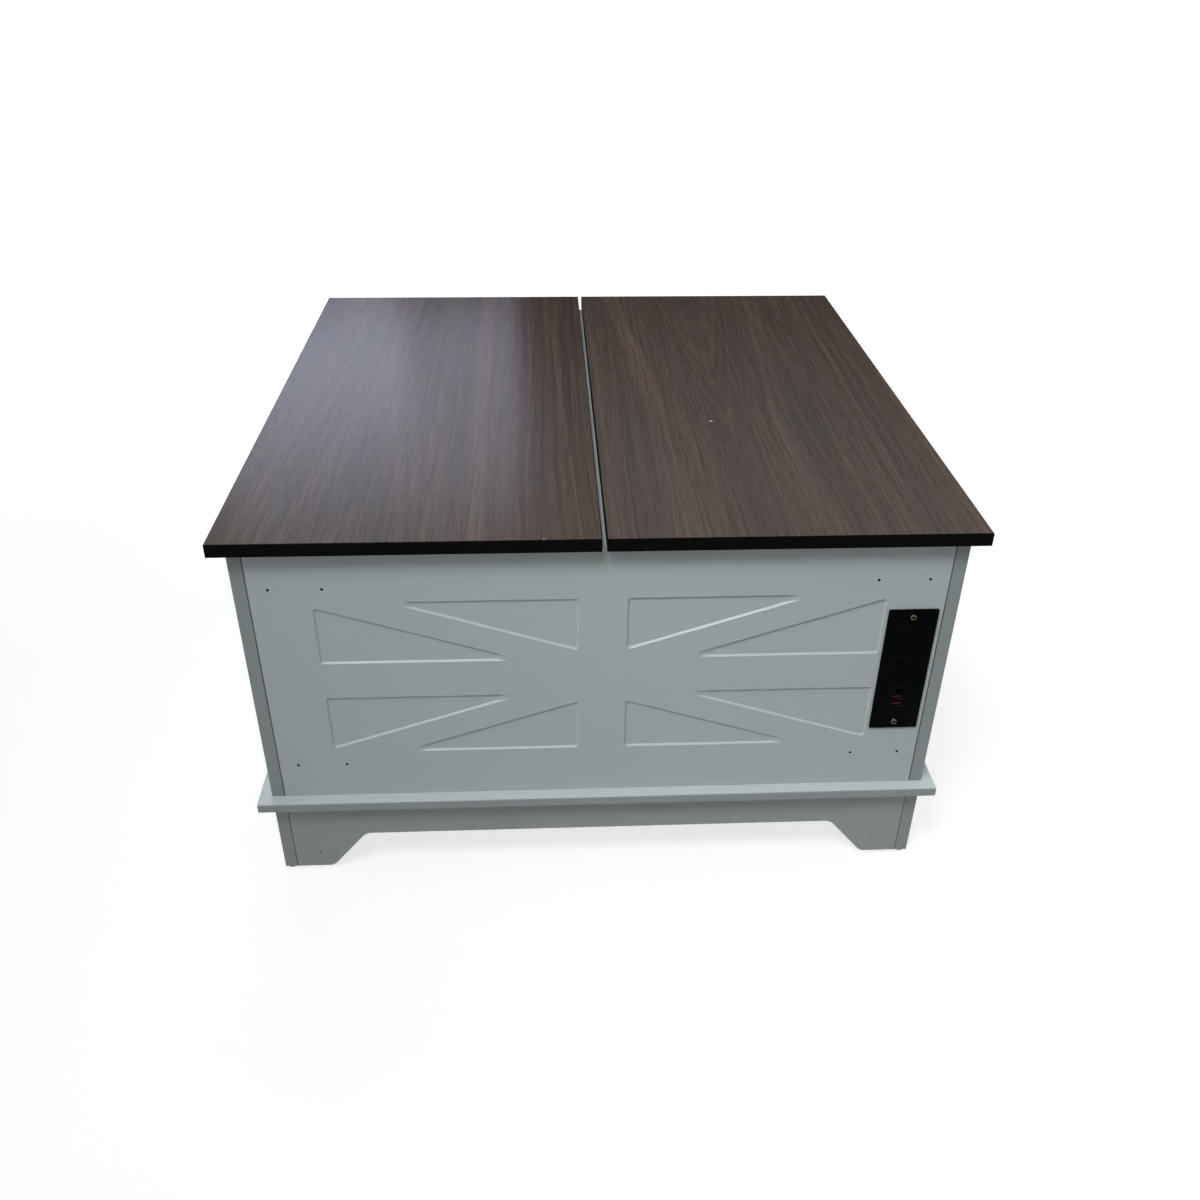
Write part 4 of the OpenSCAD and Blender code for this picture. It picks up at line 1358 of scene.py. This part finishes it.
@dataclass(frozen=True)
class PilotHoles:
    """X and Z of the blind pilot holes in the front panel and in the left front foot."""

    panel: tuple[tuple[float, float], ...]
    skirt: tuple[tuple[float, float], ...]

    @classmethod
    def from_frame(cls, end: float = 21.5 * MM, pitch: float = 55.5 * MM, edge: float = 46.5 * MM,
                   foot_in: float = 45.0 * MM, foot_up: float = 23.0 * MM) -> Self:
        """Work the holes out from the case's boards.

        Args:
            end: From an end of the front panel to its outer holes.
            pitch: Between the holes of a pair.
            edge: From the panel's top or bottom to its holes.
            foot_in: From the case's side to the hole in the foot.
            foot_up: From the skirt's bottom to the hole in the foot.

        Returns:
            The holes.
        """
        low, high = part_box("front_panel")
        case_low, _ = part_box("left_panel")
        skirt_low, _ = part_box("front_skirt")
        across = [high.x - end, high.x - end - pitch]
        heights = [low.z + edge, high.z - edge]
        return cls(tuple((side.value * place, level) for side in Side for place in across
                         for level in heights),
                   ((case_low.x + foot_in, skirt_low.z + foot_up),))


def node_finishes(palette: Palette) -> dict[str, bpy.types.Material]:
    """The material of each node of the frame.

    Args:
        palette: The table's materials.

    Returns:
        Node names and their materials.
    """
    finishes = {
        "front_panel": palette.front, "back_panel": palette.face,
        "left_panel": palette.side, "right_panel": palette.side,
        "front_skirt": palette.skirt, "back_skirt": palette.skirt,
        "left_skirt": palette.side_skirt, "right_skirt": palette.side_skirt,
        "centre_divider": palette.board, "centre_stretcher": palette.board, "plinth_board": palette.plinth,
        "corner_blocks": palette.beech, "skirt_cleats": palette.beech, "wood_dowels": palette.beech,
        "foot_glides": palette.glide, "lid_bumpers": palette.clear,
        "cam_locks": palette.zinc, "cam_bolts": palette.steel, "floor_screws": palette.zinc,
        "strut_base_brackets": palette.coat, "strut_base_pins": palette.steel,
        "outlet_faceplate": palette.plastic, "outlet_housing": palette.plastic,
        "upper_mains_socket": palette.socket, "lower_mains_socket": palette.socket,
        "charging_port_block": palette.socket, "charging_port_tongues": palette.red,
        "outlet_screws": palette.dished, "lead_gland": palette.rubber, "floor_grommet": palette.rubber,
        "left_lid_board": palette.left_top, "right_lid_board": palette.right_top,
    }
    for side in Side:
        finishes |= {
            f"{side.word}_hinge_fixed_leaves": palette.steel, f"{side.word}_hinge_pins": palette.steel,
            f"{side.word}_lid_edge_band": palette.band, f"{side.word}_lid_hinge_leaves": palette.steel,
            f"{side.word}_lid_strut_brackets": palette.coat,
        }
        for row in Row:
            finishes[f"{side.word}_{row.word}_strut_tube"] = palette.coat
            finishes[f"{side.word}_{row.word}_strut_rod"] = palette.rod
    return finishes


def dress_nodes(palette: Palette) -> None:
    """Give every node of the frame its material.

    Args:
        palette: The table's materials.
    """
    finishes = node_finishes(palette)
    for name, node in frame["nodes"].items():
        material = finishes[name]
        if not node.data.materials:
            node.data.materials.append(material)
        for slot in node.material_slots:
            slot.material = material
        LOG.info("node %s is %s", name, material.name)


# Screws


@dataclass
class WoodScrew:
    """Countersunk wood screw with a cross recess. Its head is flush with Z = 0 and faces up."""

    head_r: float = 2.6 * MM
    head_t: float = 1.3 * MM
    shank_r: float = 1.2 * MM
    length: float = 12.0 * MM
    rim_ease: float = 0.96
    rim_t: float = 0.12 * MM
    point_r: float = 0.1 * MM
    thread_turns: int = 7
    thread_out: float = 0.35 * MM
    thread_start: float = 0.3
    thread_rise: float = 0.3
    thread_run: float = 0.5
    thread_taper: float = 0.45
    slot_w: float = 0.7 * MM
    slot_reach: float = 1.35 * MM
    slot_depth: float = 0.9 * MM
    slot_taper: float = 0.55
    sides: int = 20
    smooth_below: float = 35.0

    def profile(self) -> Profile:
        """Radius and height of each step from the head down to the point.

        Returns:
            The steps.
        """
        pitch = (self.length - self.head_t) / (self.thread_turns + 1)
        steps = [(self.head_r * self.rim_ease, 0.0), (self.head_r, -self.rim_t),
                 (self.shank_r, -self.head_t)]
        for turn in range(self.thread_turns):
            root = self.shank_r * (1.0 - self.thread_taper * turn / self.thread_turns)
            level = -self.head_t - pitch * (turn + self.thread_start)
            steps += [(root, level), (root + self.thread_out, level - self.thread_rise * pitch),
                      (root, level - self.thread_run * pitch)]
        steps.append((self.point_r, -self.length))
        return steps

    def make(self, name: str) -> Piece:
        """Turn the screw and cut its recess.

        Args:
            name: Name of the piece.

        Returns:
            The screw.
        """
        screw = Piece.turned(name, self.profile(), self.sides)
        core = Vector((self.slot_w / 2, self.slot_w / 2, self.slot_depth))
        cross = Piece.block("cross_tool", -core, core)
        with cross.editing():
            for aim in ((1, 0, 0), (-1, 0, 0), (0, 1, 0), (0, -1, 0)):
                cross.pick_faces(facing(aim))
                cross.pull(Vector(aim) * (self.slot_reach - self.slot_w / 2))
            cross.pick_faces(facing((0, 0, -1)))
            cross.resize(Vector((self.slot_taper, self.slot_taper, 1.0)), Vector())
        screw.cut(cross)
        screw.smooth(self.smooth_below)
        return screw


@dataclass
class ScrewSet:
    """Screws that hold the hinge leaves and the strut brackets, at the holes of the frame."""

    sink: float = 0.06 * MM
    hinge_pitch: float = 280.0 * MM
    tongue_y: float = 21.5 * MM
    fixed_hole_in: float = 7.0 * MM
    lid_hole_in: float = 12.0 * MM
    lid_hole_y: float = 6.0 * MM
    bracket_hole_in: float = 7.0 * MM
    strut_y: float = 180.0 * MM
    leaf_t: float = 1.2 * MM
    foot_t: float = 2.0 * MM
    turn_step: float = 37.0

    def spread(self, pattern: Piece, name: str, spots: Sequence[Vector], aim: Vector,
               material: bpy.types.Material, body: str, slot: Slot) -> None:
        """Set copies of a screw in their holes as one piece.

        Args:
            pattern: The screw to copy.
            name: Name of the piece.
            spots: Middle of each screw's head.
            aim: The way that the heads face.
            material: Their material.
            body: The body that they move with.
            slot: The record's slot of their finish.
        """
        turn_up = aim.to_track_quat("Z", "Y").to_matrix().to_4x4()
        copies = []
        for number, spot in enumerate(spots):
            spin = Matrix.Rotation(math.radians(self.turn_step * number), 4, "Z")
            seat = Matrix.Translation(spot - aim * self.sink)
            copies.append(pattern.copy(f"{name}_{number}", seat @ turn_up @ spin))
        Piece.joined(name, copies).finish(material, body, slot)

    def build(self, palette: Palette) -> None:
        """Make all the screws.

        Args:
            palette: The table's materials.
        """
        small = WoodScrew().make("leaf_screw")
        large = WoodScrew(head_r=3.4 * MM, head_t=1.7 * MM, shank_r=1.6 * MM, slot_w=0.9 * MM,
                          slot_reach=1.9 * MM, slot_depth=1.1 * MM).make("bracket_screw")
        for side in Side:
            self._hinge_screws(side, small, palette)
            self._strut_screws(side, large, palette)
        small.scrap()
        large.scrap()

    def _hinge_screws(self, side: Side, screw: Piece, palette: Palette) -> None:
        """Set the screws of one side's hinges.

        Args:
            side: The side.
            screw: The screw to copy.
            palette: The table's materials.
        """
        hinges = [-self.hinge_pitch, 0.0, self.hinge_pitch]
        side_low, side_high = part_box(f"{side.word}_panel")
        face_x = side_high.x if side is Side.RIGHT else side_low.x
        leaf_top = side_high.z + self.leaf_t
        spots = [Vector((face_x - side.value * self.fixed_hole_in, y + end * self.tongue_y, leaf_top))
                 for y in hinges for end in (-1, 1)]
        self.spread(screw, f"{side.word}_fixed_leaf_screws", spots, Vector((0, 0, 1)), palette.steel,
                    "case", Slot.STEEL)
        leaf_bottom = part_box(f"{side.word}_lid_board")[0].z - self.leaf_t
        spots = [Vector((face_x - side.value * self.lid_hole_in, y + end * self.lid_hole_y, leaf_bottom))
                 for y in hinges for end in (-1, 1)]
        self.spread(screw, f"{side.word}_lid_leaf_screws", spots, Vector((0, 0, -1)), palette.steel,
                    f"{side.word}_lid", Slot.STEEL)

    def _strut_screws(self, side: Side, screw: Piece, palette: Palette) -> None:
        """Set the screws of one side's strut brackets.

        Args:
            side: The side.
            screw: The screw to copy.
            palette: The table's materials.
        """
        base_low, base_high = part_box("strut_base_brackets")
        foot_x = base_high.x if side is Side.RIGHT else base_low.x
        rows = [row.value * self.strut_y for row in Row]
        levels = [base_low.z + self.bracket_hole_in, base_high.z - self.bracket_hole_in]
        spots = [Vector((foot_x - side.value * self.foot_t, y, z)) for y in rows for z in levels]
        self.spread(screw, f"{side.word}_base_bracket_screws", spots, Vector((-side.value, 0, 0)),
                    palette.zinc, "case", Slot.ZINC)
        foot_low, foot_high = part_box(f"{side.word}_lid_strut_brackets")
        places = [foot_low.x + self.bracket_hole_in, foot_high.x - self.bracket_hole_in]
        spots = [Vector((x, y, foot_high.z - self.foot_t)) for y in rows for x in places]
        self.spread(screw, f"{side.word}_lid_bracket_screws", spots, Vector((0, 0, -1)),
                    palette.zinc, f"{side.word}_lid", Slot.ZINC)


# Gas struts


@dataclass
class StrutTrim:
    """Wiper seals at the mouths of the strut tubes."""

    rod_r: float = 3.0 * MM
    gap: float = 0.15 * MM
    seal_r: float = 6.3 * MM
    seal_t: float = 1.4 * MM
    rim_share: float = 0.5
    shoulder_share: float = 0.8
    shoulder_in: float = 0.8 * MM
    groove_w: float = 1.2 * MM
    lip_w: float = 0.5 * MM
    smooth_below: float = 30.0

    def build(self, palette: Palette) -> None:
        """Make one seal for each strut.

        Args:
            palette: The table's materials.
        """
        joints = {joint["name"]: joint for joint in frame["joints"]}
        for side in Side:
            for row in Row:
                stem = f"{side.word}_{row.word}"
                pivot = Vector(joints[f"{stem}_tube_tilt"]["pos_m"])
                axis = Vector(joints[f"{stem}_rod_slide"]["axis"]).normalized()
                self._seal(stem, pivot, axis, palette)

    def _profile(self) -> Profile:
        """Section of a seal, from the foot of its bore round to the lip that wipes the rod.

        Returns:
            Radius and height of each corner.
        """
        bore = self.rod_r + self.gap
        rim = self.rim_share * self.seal_t
        shoulder = self.shoulder_share * self.seal_t
        return [(bore, 0.0), (self.seal_r, 0.0), (self.seal_r, rim),
                (self.seal_r - self.shoulder_in, shoulder), (bore + self.groove_w, shoulder),
                (bore + self.lip_w, self.seal_t), (bore, self.seal_t)]

    def _seal(self, stem: str, pivot: Vector, axis: Vector, palette: Palette) -> None:
        """Make the seal of one strut, at the upper end of its tube.

        Args:
            stem: The strut's side and row, as its nodes and bodies spell them.
            pivot: The strut's lower pivot.
            axis: The way that its rod comes out.
            palette: The table's materials.
        """
        tube = frame["nodes"][f"{stem}_strut_tube"].data
        mouth = max((vertex.co - pivot).dot(axis) for vertex in tube.vertices)
        seal = Piece.ring(f"{stem}_strut_seal", self._profile())
        seal.smooth(self.smooth_below)
        seal.stand(pivot + axis * mouth, axis)
        seal.finish(palette.rubber, f"{stem}_tube", Slot.BLACK_PLASTIC)


# Power outlet


@dataclass
class Outlet:
    """Faceplate with eased edges, port shells and the contacts behind the sockets' slots."""

    ease: float = 0.45 * MM
    ease_above: float = 50.0
    port_w: float = 13.0 * MM
    port_h: float = 5.4 * MM
    port_depth: float = 11.4 * MM
    tongue_t: float = 2.0 * MM
    shell_wall: float = 0.35 * MM
    shell_back: float = 0.6 * MM
    shell_set_in: float = 0.1 * MM
    clearance: float = 0.05 * MM
    blade_x: float = -5.5 * MM
    blade_gap: float = 12.7 * MM
    blade_w: float = 7.5 * MM
    blade_t: float = 1.9 * MM
    leaf_t: float = 0.35 * MM
    leaf_share: float = 0.8
    smooth_below: float = 30.0
    pinch: float = 0.35 * MM
    flare: float = 0.1 * MM
    contact_in: float = 3.2 * MM
    contact_len: float = 9.5 * MM
    earth_x: float = 6.4 * MM
    earth_r: float = 2.5 * MM
    sleeve_sides: int = 24
    strip_w: float = 1.0 * MM
    strip_t: float = 0.12 * MM
    strip_pitch: float = 2.1 * MM
    strip_in: float = 1.2 * MM
    strip_nose: Triple = (0.6, 1.0, 0.5)
    strips: int = 4

    def build(self, palette: Palette) -> None:
        """Make the outlet's pieces.

        Args:
            palette: The table's materials.
        """
        self._faceplate(palette)
        self._port_shells(palette)
        self._contact_strips(palette)
        self._mains_contacts(palette)

    def _faceplate(self, palette: Palette) -> None:
        """Ease the edges of a copy of the faceplate, which stands for the node.

        Args:
            palette: The table's materials.
        """
        plate = Piece.from_node("eased_faceplate", "outlet_faceplate")
        plate.soften(self.ease, angle=self.ease_above)
        plate.finish(palette.plastic, "case", Slot.BLACK_PLASTIC)
        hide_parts("outlet_faceplate")

    def _tongues(self) -> tuple[Vector, Vector, list[float]]:
        """Lowest and highest corner of the red tongues, and the height of each one's middle."""
        low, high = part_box("charging_port_tongues")
        return low, high, [low.z + self.tongue_t / 2, high.z - self.tongue_t / 2]

    def _port_shells(self, palette: Palette) -> None:
        """Line each charging port with a thin shell, open at the front.

        Args:
            palette: The table's materials.
        """
        low, high, levels = self._tongues()
        middle_x = (low.x + high.x) / 2
        plate_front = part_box("outlet_faceplate")[0].y
        half = Vector((self.port_w / 2 - self.clearance, 0.0, self.port_h / 2 - self.clearance))
        shells = []
        for number, level in enumerate(levels):
            centre = Vector((middle_x, 0.0, level))
            front = Vector((0.0, plate_front + self.shell_set_in, 0.0))
            back = Vector((0.0, plate_front + self.port_depth, 0.0))
            shell = Piece.block(f"port_shell_{number}", centre - half + front, centre + half + back)
            with shell.editing():
                shell.pick_faces(facing((0, -1, 0)))
                bpy.ops.mesh.inset(thickness=self.shell_wall)
                shell.pull(Vector((0.0, self.port_depth - self.shell_back, 0.0)))
            shell.soften(self.shell_wall / 3, segments=1, angle=self.ease_above)
            shells.append(shell)
        Piece.joined("charging_port_shells", shells).finish(palette.shell, "case", Slot.DARK_STEEL)

    def _contact_strips(self, palette: Palette) -> None:
        """Lay gilt strips under each red tongue.

        Args:
            palette: The table's materials.
        """
        low, high, levels = self._tongues()
        middle_x = (low.x + high.x) / 2
        strips = []
        for level in levels:
            under = level - self.tongue_t / 2
            for number in range(self.strips):
                x = middle_x + (number - (self.strips - 1) / 2) * self.strip_pitch
                near = Vector((x - self.strip_w / 2, low.y + self.strip_in, under - self.strip_t))
                far = Vector((x + self.strip_w / 2, high.y - self.strip_in, under))
                strip = Piece.block("strip", near, far)
                with strip.editing():
                    strip.pick_faces(facing((0, -1, 0)))
                    strip.resize(Vector(self.strip_nose), Vector((x, near.y, under)))
                strips.append(strip)
        Piece.joined("charging_contact_strips", strips).finish(palette.gold, "case", Slot.BRASS)

    def _mains_contacts(self, palette: Palette) -> None:
        """Stand two sprung leaves in each slot and a sleeve in each earth hole.

        Args:
            palette: The table's materials.
        """
        parts = []
        for socket in ("upper_mains_socket", "lower_mains_socket"):
            low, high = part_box(socket)
            centre = (low + high) / 2
            mouth = low.y + self.contact_in
            for side in (-1, 1):
                level = centre.z + side * self.blade_gap / 2
                parts += self._slot_leaves(centre.x + self.blade_x, mouth, level)
            parts.append(self._earth_sleeve(Vector((centre.x + self.earth_x, mouth, centre.z))))
        Piece.joined("mains_contacts", parts).finish(palette.brass, "case", Slot.BRASS)

    def _slot_leaves(self, middle_x: float, mouth: float, level: float) -> list[Piece]:
        """Two leaves of one slot, pinched towards each other behind the mouth.

        Args:
            middle_x: X of the slot's middle.
            mouth: Y of the leaves' front ends.
            level: Z of the slot's middle.

        Returns:
            The leaves.
        """
        leaves = []
        half_w = self.blade_w * self.leaf_share / 2
        third = self.contact_len / 3
        for side in (-1, 1):
            outside = level + side * (self.blade_t / 2 - self.clearance)
            inside = outside - side * self.leaf_t
            low = Vector((middle_x - half_w, mouth, min(outside, inside)))
            high = Vector((middle_x + half_w, mouth + third, max(outside, inside)))
            leaf = Piece.block("leaf", low, high)
            with leaf.editing():
                leaf.pick_faces(facing((0, 1, 0)))
                leaf.pull(Vector((0.0, third, -side * self.pinch)))
                leaf.pull(Vector((0.0, third, side * self.pinch)))
            leaf.soften(self.leaf_t / 4, segments=1, angle=self.smooth_below)
            leaves.append(leaf)
        return leaves

    def _earth_sleeve(self, spot: Vector) -> Piece:
        """Round sleeve of an earth contact, its mouth flared.

        Args:
            spot: Middle of its mouth.

        Returns:
            The sleeve.
        """
        outer = self.earth_r - self.flare
        inner = outer - self.leaf_t
        sleeve = Piece.ring("sleeve", [
            (inner, -self.contact_len), (outer, -self.contact_len), (outer, 0.0),
            (outer - self.flare, self.flare), (inner, -self.leaf_t),
        ], self.sleeve_sides)
        sleeve.smooth(self.smooth_below)
        sleeve.stand(spot, Vector((0, -1, 0)))
        return sleeve


# Studio


WHITE: Colour = (1.0, 1.0, 1.0)
WARM_WHITE: Colour = (1.0, 0.99, 0.97)
DAYLIGHT: Colour = (0.71, 0.77, 1.0)


@dataclass(frozen=True)
class PaleFloor(Finish):
    """Matt floor that reads white to the camera, yet still takes the table's shadow."""

    colour: Colour = (0.38, 0.38, 0.38)
    near_lift: float = 0.75
    far_lift: float = 0.92
    near_r: float = 0.8
    far_r: float = 3.0
    roughness: float = 0.9

    def draw(self, sheet: Sheet) -> None:
        """Lift the floor towards white, more so with distance, for rays that are seen.

        Args:
            sheet: The material's sheet.
        """
        across, along, _ = sheet.axes()
        distance = away(across, along).between(self.near_r, self.far_r)
        camera, mirrored = sheet.rays()
        lift = camera.larger(mirrored) * (distance * (self.far_lift - self.near_lift) + self.near_lift)
        sheet.set({
            "Base Color": self.colour,
            "Roughness": self.roughness,
            "Specular IOR Level": 0.0,
            "Emission Color": sheet.shade(WHITE, lift),
            "Emission Strength": 1.0,
        })


@dataclass(frozen=True)
class Softbox:
    """Oblong area lamp that hangs over the floor."""

    name: str
    place: Triple
    aim: Triple
    power: float
    width: float
    height: float
    colour: Colour = WARM_WHITE
    spread: float = 180.0

    def hang(self) -> None:
        """Make the lamp and point it."""
        lamp = bpy.data.lights.new(self.name, "AREA")
        lamp.energy = self.power
        lamp.shape = "RECTANGLE"
        lamp.size = self.width
        lamp.size_y = self.height
        lamp.color = self.colour
        lamp.spread = math.radians(self.spread)
        holder = bpy.data.objects.new(self.name, lamp)
        bpy.context.scene.collection.objects.link(holder)
        holder.location = self.place
        holder.rotation_euler = (Vector(self.aim) - Vector(self.place)).to_track_quat("-Z", "Y").to_euler()


SOFTBOXES = (
    Softbox("key_softbox", place=(-0.55, -1.45, 2.35), aim=(0.30, -0.30, 0.20), power=3.9,
            width=0.8, height=0.8, spread=56.0),
    Softbox("left_softbox", place=(-2.60, -1.10, 1.50), aim=(0.0, 0.0, 0.30), power=6.0,
            width=2.2, height=1.8),
    Softbox("right_softbox", place=(2.50, 1.00, 1.60), aim=(0.0, 0.0, 0.30), power=20.0,
            width=2.4, height=2.0),
    Softbox("back_softbox", place=(-0.40, 1.35, 2.60), aim=(0.0, 0.0, 0.30), power=20.0,
            width=1.2, height=1.2),
    Softbox("window_middle", place=(-0.62, 2.05, 1.38), aim=(-0.20, 0.0, 0.45), power=4.1,
            width=1.00, height=0.66, colour=DAYLIGHT),
    Softbox("window_side", place=(-0.95, 2.07, 1.20), aim=(-0.35, 0.0, 0.45), power=2.0,
            width=0.90, height=0.56, colour=DAYLIGHT),
)


@dataclass
class Studio:
    """Pale floor, soft lamps and the camera."""

    floor_r: float = 24.0
    floor_sides: int = 96
    fill: float = 0.25
    backdrop: float = 1.0
    backdrop_to: float = 0.0
    band: float = 0.03
    band_from: float = 0.10
    band_to: float = 0.27
    ceiling: float = 1.3
    ceiling_from: float = 0.55
    camera_place: Triple = (-0.0573, -1.3806, 1.0154)
    yaw: float = 0.0539
    pitch: float = -0.5652
    roll: float = 0.0116
    lens_mm: float = 33.456
    sensor_mm: float = 36.0
    clip: tuple[float, float] = (0.05, 60.0)

    def build(self) -> None:
        """Set up everything round the table."""
        bpy.context.scene.view_settings.view_transform = "Standard"
        self._floor()
        self._world()
        for softbox in SOFTBOXES:
            softbox.hang()
        self._camera()

    def _world(self) -> None:
        """White dome with an even light. Gloss mirrors a dark band between backdrop and ceiling."""
        world = bpy.data.worlds.new("studio_world")
        bpy.context.scene.world = world
        sheet = Sheet(world, "Background")
        height = sheet.axes("Generated")[2]
        past_backdrop = height.between(self.backdrop_to, self.band_from)
        past_band = height.between(self.band_to, self.ceiling_from)
        dome = self.backdrop - past_backdrop * (self.backdrop - self.band)
        dome = dome + past_band * (self.ceiling - self.band)
        camera, mirrored = sheet.rays()
        light = self.fill + camera * (1.0 - self.fill) + mirrored * (dome - self.fill)
        sheet.set({"Color": sheet.shade(WHITE, light), "Strength": 1.0})

    def _floor(self) -> None:
        """Lay the wide round floor."""
        floor = Piece.circle("studio_floor", (self.floor_r, 0.0), self.floor_sides, "NGON")
        floor.object.data.materials.append(PaleFloor("pale_floor").make())

    def _camera(self) -> None:
        """Camera where the photograph was taken from."""
        lens = bpy.data.cameras.new("photo_camera")
        lens.lens = self.lens_mm
        lens.sensor_width = self.sensor_mm
        lens.clip_start, lens.clip_end = self.clip
        camera = bpy.data.objects.new("photo_camera", lens)
        bpy.context.scene.collection.objects.link(camera)
        flat = math.cos(self.pitch)
        forward = Vector((math.sin(self.yaw) * flat, math.cos(self.yaw) * flat, math.sin(self.pitch)))
        level = Vector((math.cos(self.yaw), -math.sin(self.yaw), 0.0))
        upright = level.cross(forward)
        right = math.cos(self.roll) * level + math.sin(self.roll) * upright
        up = math.cos(self.roll) * upright - math.sin(self.roll) * level
        turn = Matrix((right, up, -forward)).transposed().to_4x4()
        camera.matrix_world = Matrix.Translation(self.camera_place) @ turn
        bpy.context.scene.camera = camera


def main() -> None:
    """Dress the frame, add the small pieces and set up the studio."""
    logging.basicConfig(level=logging.INFO, format="%(name)s: %(message)s")
    palette = Palette()
    dress_nodes(palette)
    ScrewSet().build(palette)
    StrutTrim().build(palette)
    Outlet().build(palette)
    Studio().build()


if __name__ == "__main__":
    main()
